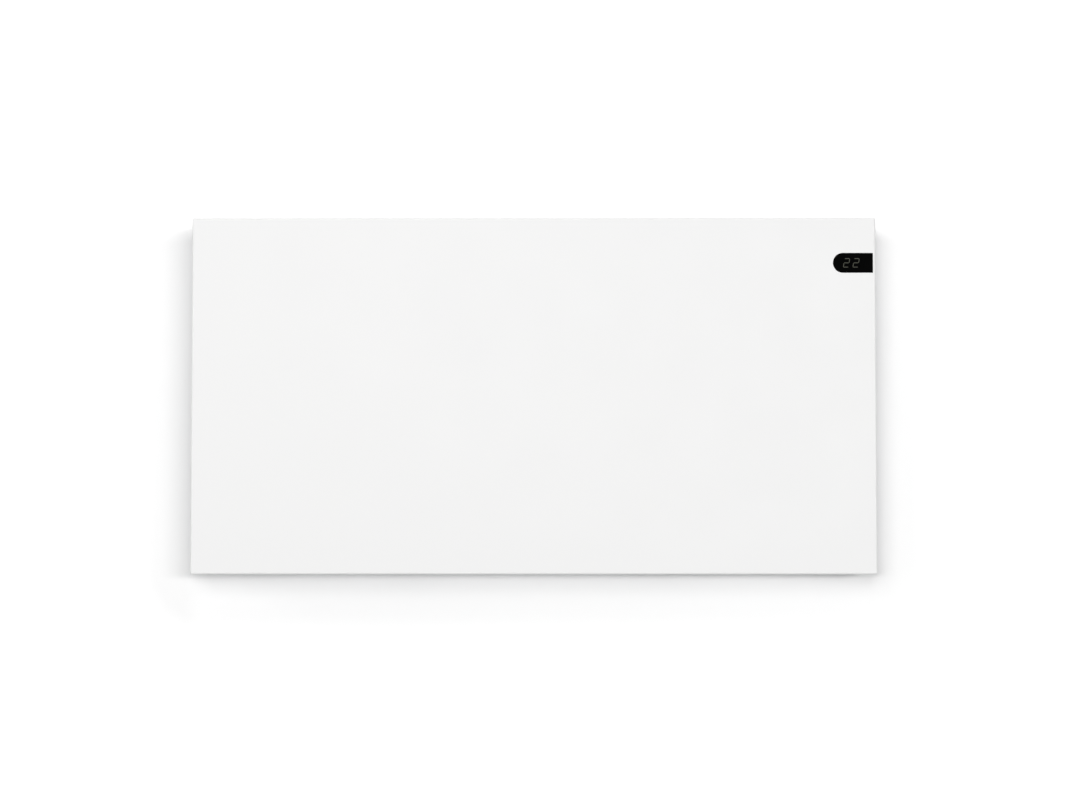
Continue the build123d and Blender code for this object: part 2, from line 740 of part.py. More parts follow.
cover_sheet = 1.6
cover_slot_length = 24.0
cover_slot_width = 3.0
cover_slot_pitch = 8.0
cover_slot_rows = 6
with BuildPart() as control_cover:
    with BuildSketch(Plane.YZ.offset(tray_right)):
        with Locations((tray_y, tray_z)):
            RectangleRounded(tray_rear - tray_front, tray_high - tray_low, tray_corner)
            with GridLocations(cover_slot_length, cover_slot_pitch, 1, cover_slot_rows):
                SlotOverall(cover_slot_length, cover_slot_width, mode=Mode.SUBTRACT)
    extrude(amount=cover_sheet)
keep(control_cover, "control_cover")

# ---- display: lens in the front, LED module and board behind it ------------------------
lens_flange = 2.0
lens_flange_sheet = 1.2
half_digit = digit_height / 2
half_stroke = digit_stroke / 2
segment_gap = 0.15
lean = tan(radians(digit_slant))


def leaned(x, z):
    """A point of a digit, moved over by the digit's slant."""
    return x + z * lean, z


def flat_bar(z):
    """A level segment of a digit, pointed at both ends."""
    tip = digit_width / 2 - half_stroke - segment_gap
    flat = tip - half_stroke
    Polygon(*[leaned(x, z + rise) for x, rise in (
        (-tip, 0), (-flat, half_stroke), (flat, half_stroke),
        (tip, 0), (flat, -half_stroke), (-flat, -half_stroke))], align=None)


def upright_bar(x, low, high):
    """An upright segment of a digit, pointed at both ends."""
    foot = low + segment_gap
    head = high - segment_gap
    Polygon(*[leaned(x + shift, z) for shift, z in (
        (0, foot), (half_stroke, foot + half_stroke), (half_stroke, head - half_stroke),
        (0, head), (-half_stroke, head - half_stroke), (-half_stroke, foot + half_stroke))], align=None)


# the lit segments of a seven-segment two
with BuildSketch() as two_sketch:
    for z in (half_digit - half_stroke, 0, half_stroke - half_digit):
        flat_bar(z)
    upright_bar(digit_width / 2 - half_stroke, 0, half_digit - half_stroke)
    upright_bar(half_stroke - digit_width / 2, half_stroke - half_digit, 0)

digit_x = lens_left + digit_offset
window_depth = 0.3
with BuildPart() as display_digits:
    with BuildSketch(Plane.XZ.offset(-front_y)):
        with Locations((digit_x, tab_z), (digit_x + digit_pitch, tab_z)):
            add(two_sketch.sketch)
    extrude(amount=-window_depth)
keep(display_digits, "display_digits")

with BuildPart() as display_lens:
    with BuildSketch(Plane.XZ.offset(-front_y)):
        add(lens_outline.sketch)
    extrude(amount=-lens_thickness)
    with BuildSketch(Plane.XZ.offset(-inner_front)):
        with Locations(((lens_left + lens_right - lens_flange) / 2, tab_z)):
            Rectangle(lens_length + lens_flange, lens_height + 2 * lens_flange)
    extrude(amount=-lens_flange_sheet)
    with BuildSketch(Plane.XZ.offset(-front_y)):
        with Locations((digit_x, tab_z), (digit_x + digit_pitch, tab_z)):
            add(two_sketch.sketch)
    extrude(amount=-window_depth, mode=Mode.SUBTRACT)
keep(display_lens, "display_lens")

lens_back = max(front_y + lens_thickness, inner_front + lens_flange_sheet)
module_left = lens_left + 3.0
module_right = lens_right - 13.0
module_depth = 6.0
carrier_sheet = 2.0
module_height = lens_height - 4.0
display_board_front = lens_back + module_depth
carrier_y = display_board_front + board_sheet + carrier_sheet / 2
switch_board_x = module_right + 2.0
carrier_x = switch_board_x - carrier_sheet / 2
with BuildPart() as display_module:
    with BuildSketch(Plane.XZ.offset(-lens_back)):
        with Locations(((module_left + module_right) / 2, tab_z)):
            Rectangle(module_right - module_left, module_height)
    extrude(amount=-module_depth)
keep(display_module, "display_module")
with BuildPart() as display_board:
    with BuildSketch(Plane.XZ.offset(-display_board_front)):
        with Locations(((module_left + module_right) / 2, tab_z)):
            Rectangle(module_right - module_left + 2.0, lens_height + 2.0)
    extrude(amount=-board_sheet)
keep(display_board, "display_board")

return_seat = return_face - carrier_sheet / 2
with BuildPart() as display_carrier:
    with BuildSketch(Plane.XY.offset(tab_z - carrier_half)):
        with BuildLine():
            FilletPolyline((module_left - 1.0, carrier_y), (carrier_x, carrier_y),
                           (carrier_x, return_seat), (half_width - case_sheet - 2.0, return_seat),
                           radius=bend)
        trace(line_width=carrier_sheet)
    extrude(amount=2 * carrier_half)
    with BuildSketch(Plane.XZ.offset(-return_face)):
        with Locations((half_width - rear_screw_inset, tab_z)):
            Circle(screw_radius + slip)
    extrude(amount=2 * carrier_sheet, mode=Mode.SUBTRACT)
keep(display_carrier, "display_carrier")

# ---- keys: three round keys in a recessed fascia on the right side ---------------------
key_top = half_width - 0.1
fascia_face = key_top - key_proud
fascia_sheet = 1.5
fascia_flange = 2.0
fascia_back = half_width - case_sheet - fascia_sheet
key_rim = 1.0
key_thickness = 1.0
key_edge = 0.3
stem_radius = 1.5
stem_length = 1.0
key_names = ("key_power", "key_minus", "key_plus")
key_places = [fascia_y + (place - 1) * key_pitch for place in range(len(key_names))]
with BuildPart() as key_fascia:
    with BuildSketch(Plane.YZ.offset(fascia_face)):
        with Locations((fascia_y, tab_z)):
            SlotOverall(fascia_length, fascia_height)
    extrude(amount=fascia_back - fascia_face)
    with BuildSketch(Plane.YZ.offset(half_width - case_sheet)):
        with Locations((fascia_y, tab_z)):
            SlotOverall(fascia_length + 2 * fascia_flange, fascia_height + 2 * fascia_flange)
    extrude(amount=-fascia_sheet)
    with BuildSketch(Plane.YZ.offset(fascia_face)):
        with Locations(*[(y, tab_z) for y in key_places]):
            Circle(key_radius + slip)
    extrude(amount=fascia_back - fascia_face, mode=Mode.SUBTRACT)
keep(key_fascia, "key_fascia")

rim_face = fascia_back - 2 * slip
stem_end = rim_face - key_thickness - stem_length
for name, y in zip(key_names, key_places):
    with BuildPart() as key:
        with BuildSketch(Plane.YZ.offset(key_top)):
            with Locations((y, tab_z)):
                Circle(key_radius)
        extrude(amount=rim_face - key_top)
        fillet(key.faces().sort_by(Axis.X)[-1].edges(), key_edge)
        with BuildSketch(Plane.YZ.offset(rim_face)):
            with Locations((y, tab_z)):
                Circle(key_radius + key_rim)
        extrude(amount=-key_thickness)
        with BuildSketch(Plane.YZ.offset(rim_face - key_thickness)):
            with Locations((y, tab_z)):
                Circle(stem_radius)
        extrude(amount=-stem_length)
    keep(key, name)

key_board_right = switch_board_x + board_sheet
switch_side = 6.0
switch_height = 3.4
plunger_radius = 1.7
with BuildPart() as key_board:
    with BuildSketch(Plane.YZ.offset(switch_board_x)):
        with Locations((fascia_y, tab_z)):
            Rectangle(fascia_length - 4.0, lens_height)
    extrude(amount=board_sheet)
keep(key_board, "key_board")
plunger_end = stem_end - key_travel - slip
with BuildPart() as key_switches:
    with BuildSketch(Plane.YZ.offset(key_board_right)):
        with Locations(*[(y, tab_z) for y in key_places]):
            Rectangle(switch_side, switch_side)
    extrude(amount=switch_height)
    with BuildSketch(Plane.YZ.offset(key_board_right)):
        with Locations(*[(y, tab_z) for y in key_places]):
            Circle(plunger_radius)
    extrude(amount=plunger_end - key_board_right)
keep(key_switches, "key_switches")

# ---- cable inlet on the back, terminal block and earth stud behind it ------------------
inlet_corner = 4.0
inlet_edge = 1.5
ear_sheet = 2.5
ear_height = 10.0
with BuildPart() as cable_inlet:
    with BuildSketch(Plane.XZ.offset(-cover_back)):
        with Locations((inlet_x, inlet_low + inlet_height / 2)):
            Rectangle(inlet_width, inlet_height)
    extrude(amount=-inlet_depth)
    fillet(cable_inlet.edges().filter_by(Axis.Y), inlet_corner)
    fillet(cable_inlet.faces().sort_by(Axis.Y)[-1].edges(), inlet_edge)
    with BuildSketch(Plane.XZ.offset(-cover_back)):
        with Locations((inlet_x, inlet_low + inlet_height / 2)):
            SlotOverall(inlet_width + 4 * inlet_ear, ear_height)
        with Locations(*inlet_screw_places):
            Circle(small_screw_radius + slip, mode=Mode.SUBTRACT)
    extrude(amount=-ear_sheet)
    with BuildSketch(Plane.XY.offset(inlet_low)):
        with Locations((inlet_x, cover_back + inlet_depth / 2)):
            Circle(inlet_bore)
    extrude(amount=inlet_pass_z - inlet_low, mode=Mode.SUBTRACT)
    with BuildSketch(Plane.XZ.offset(-cover_back)):
        with Locations((inlet_x, inlet_pass_z)):
            Circle(inlet_pass - 1.0)
    extrude(amount=-(inlet_depth / 2 + inlet_bore + 1.0), mode=Mode.SUBTRACT)
keep(cable_inlet, "cable_inlet")
ear_plane = back_plane.offset(ear_sheet)
keep(pan_screw(ear_plane, 2.8, 1.8, small_screw_radius, 6.5,
               *[(-x, z) for x, z in inlet_screw_places]), "inlet_screws")

terminal_width = 34.0
terminal_height = 22.0
terminal_depth = 16.0
terminal_corner = 1.0
pole_count = 3
pole_rows = 2
pocket_radius = 2.4
pocket_depth = 6.0
clamp_height = 3.5
driver_width = 0.7
driver_depth = 1.2
entry_width = 5.0
entry_height = 1.8
entry_depth = 3.0
terminal_front = Plane.XZ.offset(-cover_front + terminal_depth)
with BuildPart() as terminal_block:
    with BuildSketch(Plane.XZ.offset(-cover_front)):
        with Locations((terminal_x, terminal_z)):
            RectangleRounded(terminal_width, terminal_height, terminal_corner)
        with Locations(*terminal_screw_places):
            Circle(small_screw_radius + slip, mode=Mode.SUBTRACT)
    extrude(amount=terminal_depth)
    with BuildSketch(terminal_front):
        with Locations((terminal_x, terminal_z)):
            with GridLocations(pole_spread, pole_spread, pole_count, pole_rows):
                Circle(pocket_radius)
    extrude(amount=-pocket_depth, mode=Mode.SUBTRACT)
    with BuildSketch(Plane.XY.offset(terminal_z - terminal_height / 2)):
        with Locations((terminal_x, cover_front - terminal_depth / 2)):
            with GridLocations(pole_spread, 1.0, pole_count, 1):
                Rectangle(entry_width, entry_height)
    extrude(amount=entry_depth, mode=Mode.SUBTRACT)
keep(terminal_block, "terminal_block")
with BuildPart() as terminal_screws:
    with BuildSketch(terminal_front.offset(-pocket_depth)):
        with Locations((terminal_x, terminal_z)):
            with GridLocations(pole_spread, pole_spread, pole_count, pole_rows):
                Circle(pocket_radius - slip)
    extrude(amount=clamp_height)
    with BuildSketch(terminal_front.offset(clamp_height - pocket_depth)):
        with Locations((terminal_x, terminal_z)):
            with GridLocations(pole_spread, pole_spread, pole_count, pole_rows):
                Rectangle(2 * pocket_radius, driver_width)
    extrude(amount=-driver_depth, mode=Mode.SUBTRACT)
keep(terminal_screws, "terminal_screws")
keep(pan_screw(terminal_front, 2.4, 1.6, small_screw_radius, terminal_depth + rear_sheet + 2.0,
               *terminal_screw_places), "terminal_fixings")

# earth stud through the cover: a hexagon head outside, a nut inside on a ring tag
earth_head_height = 2.0
earth_nut_radius = 3.2
earth_nut_height = 2.6
earth_stud_length = 12.0
tag_sheet = 0.8
tag_radius = 3.6
tag_reach = 6.0
barrel_radius = 2.0
barrel_length = 6.0
barrel_y = cover_front - barrel_radius - slip
with BuildPart() as earth_stud:
    with BuildSketch(back_plane):
        with Locations((-earth_x, earth_z)):
            RegularPolygon(earth_nut_radius, 6)
    extrude(amount=earth_head_height)
    with BuildSketch(back_plane):
        with Locations((-earth_x, earth_z)):
            Circle(small_screw_radius)
    extrude(amount=-earth_stud_length)
    with BuildSketch(Plane.XZ.offset(-cover_front)):
        with Locations((earth_x, earth_z)):
            Circle(tag_radius)
            Rectangle(2 * barrel_radius, tag_reach, align=(Align.CENTER, Align.MIN))
    extrude(amount=tag_sheet)
    with BuildSketch(Plane.XZ.offset(-cover_front + tag_sheet)):
        with Locations((earth_x, earth_z)):
            RegularPolygon(earth_nut_radius, 6)
    extrude(amount=earth_nut_height)
    with BuildSketch(Plane.XY.offset(earth_z + tag_reach)):
        with Locations((earth_x, barrel_y)):
            Circle(barrel_radius)
            Circle(lead_radius + slip, mode=Mode.SUBTRACT)
    extrude(amount=barrel_length)
keep(earth_stud, "earth_stud")

# ---- room sensor in a holder on the casing's floor --------------------------------------
sensor_x = inlet_x + 12.0
sensor_y = -60.0
sensor_radius = 2.0
sensor_length = 12.0
floor_z = case_sheet - half_height
holder_height = 9.0
holder_base = 2.0
holder_side = 8.0
with BuildPart() as sensor_holder:
    with BuildSketch(Plane.XY.offset(floor_z)):
        with Locations((sensor_x, sensor_y)):
            RectangleRounded(18.0, 12.0, 2.0)
    extrude(amount=holder_base)
    with BuildSketch(Plane.XY.offset(floor_z)):
        with Locations((sensor_x, sensor_y)):
            RectangleRounded(holder_side, holder_side, 1.5)
    extrude(amount=holder_height)
    with BuildSketch(Plane.XY.offset(floor_z + holder_base)):
        with Locations((sensor_x, sensor_y)):
            Circle(sensor_radius + slip)
    extrude(amount=holder_height, mode=Mode.SUBTRACT)
keep(sensor_holder, "sensor_holder")
sensor_low = floor_z + holder_base
sensor_edge = 0.8
with BuildPart() as room_sensor:
    with BuildSketch(Plane.XY.offset(sensor_low)):
        with Locations((sensor_x, sensor_y)):
            Circle(sensor_radius)
    extrude(amount=sensor_length)
    fillet(room_sensor.faces().sort_by(Axis.Z)[-1].edges(), sensor_edge)
    fillet(room_sensor.faces().sort_by(Axis.Z)[0].edges(), sensor_edge)
keep(room_sensor, "room_sensor")


def bend_radii(points):
    """The largest arc that fits each corner of a route: 0.45 of its shorter run."""
    runs = [Vector(b) - Vector(a) for a, b in zip(points, points[1:])]
    return [0.45 * min(a.length, b.length) / tan(radians(a.get_angle(b) / 2))
            for a, b in zip(runs, runs[1:])]


def leads(name, radius, *routes):
    """Insulated leads, each a round tube along straight runs joined by tangent arcs."""
    with BuildPart() as group:
        for points in routes:
            with BuildLine() as path:
                FilletPolyline(*points, radius=bend_radii(points))
            route = path.wires()[0]
            with BuildSketch(Plane(origin=route @ 0, z_dir=route % 0)):
                Circle(radius)
            sweep(path=route)
    keep(group, name)


socket_x = board_right + connector_height
terminal_top = terminal_z + terminal_height / 2
terminal_y = cover_front - terminal_depth / 2
rod_end = rod_length / 2 + stud_length
left_stud = element_x - rod_end
right_stud = element_x + rod_end
blade_tip = shield_face - cutout_height - cap_height - blade_height
shelf_y = shield_face - 3.0


def beside(x, y, z):
    """A point by the control board: x from the partition, z from the board's connector."""
    return partition_x + x, y, connector_z + z


def near_end(x, y, z):
    """A point by the element's right end, measured from its stud."""
    return right_stud + x, element_y + y, element_z + z


def near_start(x, y, z):
    """A point by the element's left end, measured from its stud."""
    return left_stud + x, element_y + y, element_z + z


def by_cutout(x, y, z):
    """A point by the overheat cut-out's blades."""
    return cutout_x + x, y, cutout_z + z


rise = tray_low - terminal_top
below_tray = tray_low - connector_z - 0.2 * rise
shelf_z = cutout_z + 42.0
clip_places = [(cutout_x - 270.0, shelf_z), (cutout_x - 150.0, shelf_z)]
leads("supply_leads", lead_radius,
      [(terminal_x, terminal_y, terminal_top), (terminal_x, terminal_y, terminal_top + 0.4 * rise),
       beside(32, -48, below_tray), beside(33, -50, -10), beside(28, -50, 0), (socket_x, -50, connector_z)],
      [(terminal_x + pole_spread, terminal_y, terminal_top),
       (terminal_x + pole_spread, terminal_y, terminal_top + 0.44 * rise),
       beside(36, -54, below_tray), beside(37, -54, -10), beside(30, -54, 0), (socket_x, -54, connector_z)])
leads("earth_lead", lead_radius,
      [(terminal_x - pole_spread, terminal_y, terminal_top),
       (terminal_x - pole_spread, terminal_y, terminal_top + 0.25 * rise),
       (earth_x + 2, barrel_y - 2, terminal_top + 0.25 * rise), (earth_x, barrel_y, terminal_top - 6),
       (earth_x, barrel_y, earth_z + tag_reach + 0.5)])
leads("element_lead", lead_radius,
      [(socket_x, -58, connector_z), beside(27, -58, 0), beside(33, -58, -12), beside(30, -59, -36),
       beside(15, -50, -59), (partition_x, lead_pass_y + 2.2, lead_pass_z), near_end(8, 9, 35),
       near_end(12, 1, 16), near_end(12, 0, 0), near_end(0, 0, 0)])
leads("cutout_leads", lead_radius,
      [(socket_x, -62, connector_z), beside(29, -62, 0), beside(36, -62, -14), beside(33, -62, -40),
       beside(15, -55, -58), (partition_x, lead_pass_y - 2.2, lead_pass_z), near_end(3, 5, 46),
       by_cutout(65, -51, -6), by_cutout(26, -58, 4), by_cutout(blade_spread, -66, 0),
       by_cutout(blade_spread, blade_tip, 0)],
      [near_start(0, 0, 0), near_start(-8, 0, 0), near_start(-8, 4, 22), near_start(-7, 12, 56),
       near_start(1, 16, 90), near_start(39, 17, 111), (clip_places[0][0] - 20, shelf_y, shelf_z),
       (clip_places[1][0] + 40, shelf_y, shelf_z), by_cutout(-32, -42, 34), by_cutout(-10, -56, 20),
       by_cutout(-blade_spread, -68, 0), by_cutout(-blade_spread, blade_tip, 0)])
sensor_top = sensor_low + sensor_length
leads("sensor_lead", lead_radius * 0.7,
      [(sensor_x, sensor_y, sensor_top), (sensor_x, sensor_y, sensor_top + 14),
       (sensor_x - 16, sensor_y - 1, sensor_top + 38), (partition_x + 11, -62, sensor_top + 58),
       (partition_x + 5, -63, sensor_top + 86), beside(6, -65, -52), beside(19, -66, -36),
       beside(37, -65, -24), beside(38, -65, -10), beside(29, -64.5, 2),
       (socket_x, -64.5, connector_z + 2)])

clip_hole_radius = lead_radius + 0.6
clip_depth = 6.0
with BuildPart() as lead_clips:
    with BuildSketch(Plane.XZ.offset(-shield_face)):
        with Locations(*clip_places):
            RectangleRounded(7.0, 12.0, 1.5)
    extrude(amount=clip_depth)
    for x, z in clip_places:
        with BuildSketch(Plane.YZ.offset(x)):
            with Locations((shelf_y, z)):
                Circle(clip_hole_radius)
        extrude(amount=5.0, both=True, mode=Mode.SUBTRACT)
keep(lead_clips, "lead_clips")
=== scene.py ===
"""Looks for a wall panel convector heater: finishes, raised key marks and a plain studio."""
import json
import math

import bpy
from bpy.props import FloatProperty, FloatVectorProperty, PointerProperty
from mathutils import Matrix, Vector


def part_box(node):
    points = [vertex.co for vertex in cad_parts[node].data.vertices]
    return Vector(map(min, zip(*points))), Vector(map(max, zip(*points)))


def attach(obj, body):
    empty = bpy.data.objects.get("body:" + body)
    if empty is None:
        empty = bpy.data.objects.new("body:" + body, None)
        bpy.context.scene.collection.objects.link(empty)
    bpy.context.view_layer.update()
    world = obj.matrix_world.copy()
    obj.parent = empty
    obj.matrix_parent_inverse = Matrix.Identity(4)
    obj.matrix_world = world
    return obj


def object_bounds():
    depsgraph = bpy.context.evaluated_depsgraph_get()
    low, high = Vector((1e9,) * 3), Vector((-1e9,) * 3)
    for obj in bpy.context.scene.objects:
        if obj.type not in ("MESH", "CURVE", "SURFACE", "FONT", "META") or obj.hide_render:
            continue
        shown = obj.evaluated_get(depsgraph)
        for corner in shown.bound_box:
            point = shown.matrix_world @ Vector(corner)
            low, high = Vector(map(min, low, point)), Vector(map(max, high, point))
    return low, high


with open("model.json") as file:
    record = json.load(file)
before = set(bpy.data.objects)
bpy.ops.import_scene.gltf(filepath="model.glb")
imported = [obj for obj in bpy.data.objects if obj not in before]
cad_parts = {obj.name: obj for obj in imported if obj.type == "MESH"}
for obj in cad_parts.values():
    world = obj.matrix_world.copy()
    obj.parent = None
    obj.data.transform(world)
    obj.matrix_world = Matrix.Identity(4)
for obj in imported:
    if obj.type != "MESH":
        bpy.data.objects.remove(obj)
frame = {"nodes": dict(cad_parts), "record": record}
CAD_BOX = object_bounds()

bl_info = {
    "name": "Wall Panel Heater",
    "version": (1, 0, 0),
    "blender": (4, 5, 0),
    "location": "3D View > Sidebar > Heater",
    "description": "Finishes a wall panel convector heater and sets up its studio",
    "category": "Object",
}

# Colours that more than one finish uses
DUST_COLOUR = (0.42, 0.40, 0.37)
PAD_COLOUR = (0.62, 0.60, 0.52)

# The Mix node's two colour inputs and its colour output, which share their names with others
MIX_FIRST, MIX_SECOND, MIX_RESULT = 6, 7, 2

# Shares of a key mark's width
MARK = {"stroke": 0.16, "ring_radius": 0.46, "stem_length": 0.48, "stem_rise": 0.32}
# A mark's height as a share of the room in front of its key, then shares of that height
MARK_HEIGHT = 0.9
RING_HEIGHT = 1.8
SUNK = 0.02
RIM_ROUNDING = 0.35
# Rounding of a bar's ends as a share of its stroke, the ring's opening, and faces across the cross
END_ROUNDING = 0.48
RING_GAP = math.radians(70)
CROSS_CELLS = 3

# Sizes and places of the lamps, wall and floor, in metres
LEFT_LAMP = {"size": (1.3, 0.8), "place": (-0.4, -3.6, 0.60)}
RIGHT_LAMP = {"size": (2.2, 0.5), "place": (2.0, -7.0, 0.26)}
SIDE_LAMP = {"size": (0.8, 1.2), "place": (-2.0, -1.5, 0.2)}
TOP_LAMP = {"size": (2.2, 1.0), "place": (0.0, -0.3, 3.2)}
BACK_LAMP = {"size": (4.0, 3.0), "place": (0.4, 3.4, 1.3)}
WALL = {"size": 30.0, "place": (0.0, 0.002, 0.0), "turn": (math.radians(90), 0.0, 0.0), "colour": 0.84}
FLOOR = {"size": 60.0, "place": (0.0, 0.0, -1.6), "turn": (0.0, 0.0, 0.0), "colour": 0.80}
# Width of the camera's sensor, in millimetres
SENSOR_WIDTH = 36.0

# The wall's lift is held back round the heater, which paints a shadow there over the cast one so that it
# shows.
# Reaches are in metres from the heater's outline, and a pair is where a fade starts and ends.
HOLD_REACH = (0.045, 0.11)
HOLD_TOP = (-0.018, 0.016)
HOLD_RIGHT = 0.225
# Extra painted shadow beside the two ends: its reach, the power that it drops by, its strengths, and how far
# below it goes
END_REACH = 0.045
END_DROP = 2.0
END_LEFT, END_RIGHT = 0.08, 0.24
END_BELOW = 0.008
# Extra painted shadow under the two lower corners, which rises by a power from the middle
CORNER_REACH = (0.004, 0.018)
CORNER_HOLD = 0.10
CORNER_RISE = 4.0
# Less painted shadow under the left half
UNDER_REACH, UNDER_END = 0.012, 0.02
UNDER_LESS = 0.04


# ---- node helpers ---------------------------------------------------------------------
def node(tree, kind, settings=None, **values):
    """Adds a node, sets its own settings and the values of its sockets."""
    made = tree.nodes.new(kind)
    for key, value in (settings or {}).items():
        setattr(made, key, value)
    for key, value in values.items():
        made.inputs[key.replace("_", " ")].default_value = value
    return made


def worked(tree, operation, *values, clamped=False):
    """The result of a calculation with sockets and numbers."""
    made = node(tree, "ShaderNodeMath", {"operation": operation, "use_clamp": clamped})
    for index, value in enumerate(values):
        if isinstance(value, bpy.types.NodeSocket):
            tree.links.new(value, made.inputs[index])
        else:
            made.inputs[index].default_value = value
    return made.outputs[0]


def product(tree, *values):
    """All the values multiplied."""
    result = values[0]
    for value in values[1:]:
        result = worked(tree, "MULTIPLY", result, value)
    return result


def past(tree, source, edge):
    """How far a value is past an edge, and 0 before it."""
    return worked(tree, "MAXIMUM", worked(tree, "SUBTRACT", source, edge), 0.0)


def between(tree, share, first, second):
    """A number that goes from the first to the second as a share goes from 0 to 1."""
    return worked(tree, "MULTIPLY_ADD", share, second - first, first)


def fade(tree, source, start, end):
    """1 before start and 0 past end, with a soft change between."""
    made = node(tree, "ShaderNodeMapRange", {"interpolation_type": "SMOOTHSTEP"},
                From_Min=start, From_Max=end, To_Min=1.0, To_Max=0.0)
    tree.links.new(source, made.inputs["Value"])
    return made.outputs["Result"]


def rest_of(tree, share):
    """What a share leaves of 1."""
    return worked(tree, "SUBTRACT", 1.0, share)


def ranged(tree, source, low, high):
    """Maps a 0 to 1 value to another range."""
    made = node(tree, "ShaderNodeMapRange", To_Min=low, To_Max=high)
    tree.links.new(source, made.inputs["Value"])
    return made.outputs["Result"]


def mixed(tree, factor, first, second):
    """A colour between two, by a mask."""
    made = node(tree, "ShaderNodeMix", {"data_type": "RGBA"})
    tree.links.new(factor, made.inputs["Factor"])
    for slot, colour in ((MIX_FIRST, first), (MIX_SECOND, second)):
        if isinstance(colour, bpy.types.NodeSocket):
            tree.links.new(colour, made.inputs[slot])
        else:
            made.inputs[slot].default_value = (*colour, 1.0)
    return made.outputs[MIX_RESULT]


def scaled(colour, share):
    """A colour made darker or lighter, and no lighter than white."""
    return tuple(min(channel * share, 1.0) for channel in colour)


def own_place(tree):
    """The place of a point on its own piece, which all patterns follow."""
    return tree.nodes.new("ShaderNodeTexCoord").outputs["Object"]


def parted(tree, vector):
    """The X, Y and Z of a vector, by name."""
    made = tree.nodes.new("ShaderNodeSeparateXYZ")
    tree.links.new(vector, made.inputs["Vector"])
    return made.outputs


# ---- effects that several finishes share -------------------------------------------------
def group_tree(name, inputs, outputs):
    """An empty shader node group with float inputs and outputs, and its two end nodes."""
    tree = bpy.data.node_groups.new(name, "ShaderNodeTree")
    for label, value in inputs:
        socket = tree.interface.new_socket(label, in_out="INPUT", socket_type="NodeSocketFloat")
        socket.default_value = value
    for label in outputs:
        tree.interface.new_socket(label, in_out="OUTPUT", socket_type="NodeSocketFloat")
    return tree, tree.nodes.new("NodeGroupInput"), tree.nodes.new("NodeGroupOutput")


def grain_group():
    """Fine surface texture: a height for bump and a slow mask for uneven gloss."""
    tree, ins, outs = group_tree("FineGrain", [("Cells", 600.0), ("Patches", 14.0)], ["Height", "Mask"])
    place = own_place(tree)
    fine = node(tree, "ShaderNodeTexNoise", Detail=2.0, Roughness=0.55)
    slow = node(tree, "ShaderNodeTexNoise", Detail=4.0, Roughness=0.5)
    for noise, socket in ((fine, "Cells"), (slow, "Patches")):
        tree.links.new(place, noise.inputs["Vector"])
        tree.links.new(ins.outputs[socket], noise.inputs["Scale"])
    tree.links.new(fine.outputs["Fac"], outs.inputs["Height"])
    tree.links.new(slow.outputs["Fac"], outs.inputs["Mask"])
    return tree


def rolled_group():
    """Long faint lines along X, as rolling and drawing leave on sheet and bar."""
    tree, ins, outs = group_tree("RolledLines", [("Lines", 900.0)], ["Height"])
    stretch = node(tree, "ShaderNodeMapping", Scale=(0.02, 1.0, 1.0))
    lines = node(tree, "ShaderNodeTexNoise", Detail=3.0, Roughness=0.6)
    tree.links.new(own_place(tree), stretch.inputs["Vector"])
    tree.links.new(stretch.outputs["Vector"], lines.inputs["Vector"])
    tree.links.new(ins.outputs["Lines"], lines.inputs["Scale"])
    tree.links.new(lines.outputs["Fac"], outs.inputs["Height"])
    return tree


def spangle_group():
    """The flat crystal patches of a zinc coating, each with its own tone."""
    tree, ins, outs = group_tree("Spangle", [("Crystals", 130.0)], ["Tone"])
    cells = tree.nodes.new("ShaderNodeTexVoronoi")
    split = tree.nodes.new("ShaderNodeSeparateColor")
    tree.links.new(own_place(tree), cells.inputs["Vector"])
    tree.links.new(ins.outputs["Crystals"], cells.inputs["Scale"])
    tree.links.new(cells.outputs["Color"], split.inputs["Color"])
    tree.links.new(split.outputs["Red"], outs.inputs["Tone"])
    return tree


def dust_group():
    """Dust that settles on faces that look up, broken up by a noise."""
    tree, ins, outs = group_tree("SettledDust", [("Amount", 0.3)], ["Mask"])
    facing = parted(tree, tree.nodes.new("ShaderNodeNewGeometry").outputs["Normal"])
    speck = node(tree, "ShaderNodeTexNoise", Scale=220.0, Detail=5.0, Roughness=0.7)
    tree.links.new(own_place(tree), speck.inputs["Vector"])
    upward = worked(tree, "MULTIPLY", facing["Z"], speck.outputs["Fac"], clamped=True)
    tree.links.new(worked(tree, "MULTIPLY", upward, ins.outputs["Amount"], clamped=True), outs.inputs["Mask"])
    return tree


GROUPS = {}


def shared(tree, name, **values):
    """A shared effect's group in a material, with its own values. It is built the first time."""
    makers = {"grain": grain_group, "rolled": rolled_group, "spangle": spangle_group, "dust": dust_group}
    if name not in GROUPS:
        GROUPS[name] = makers[name]()
    return node(tree, "ShaderNodeGroup", {"node_tree": GROUPS[name]}, **values)


# ---- finishes --------------------------------------------------------------------------
def blank(name, colour, roughness, metallic=0.0, specular=0.5, coat=0.0):
    """A material with a lone Principled shader, and its tree and shader."""
    made = bpy.data.materials.new(name)
    made.use_nodes = True
    made.diffuse_color = (*colour, 1.0)
    tree = made.node_tree
    skin = tree.nodes["Principled BSDF"]
    skin.inputs["Base Color"].default_value = (*colour, 1.0)
    skin.inputs["Roughness"].default_value = roughness
    skin.inputs["Metallic"].default_value = metallic
    skin.inputs["Specular IOR Level"].default_value = specular
    skin.inputs["Coat Weight"].default_value = coat
    skin.inputs["Coat Roughness"].default_value = 0.1
    return made, tree, skin


def raise_bump(tree, skin, height, strength, distance):
    """Feeds a height to the shader's normal."""
    bump = node(tree, "ShaderNodeBump", Strength=strength, Distance=distance)
    tree.links.new(height, bump.inputs["Height"])
    tree.links.new(bump.outputs["Normal"], skin.inputs["Normal"])


def uneven_gloss(tree, skin, mask, roughness, smoother, rougher):
    """Lets the roughness wander between two shares of it, by a mask."""
    tree.links.new(ranged(tree, mask, roughness * smoother, min(roughness * rougher, 1.0)),
                   skin.inputs["Roughness"])


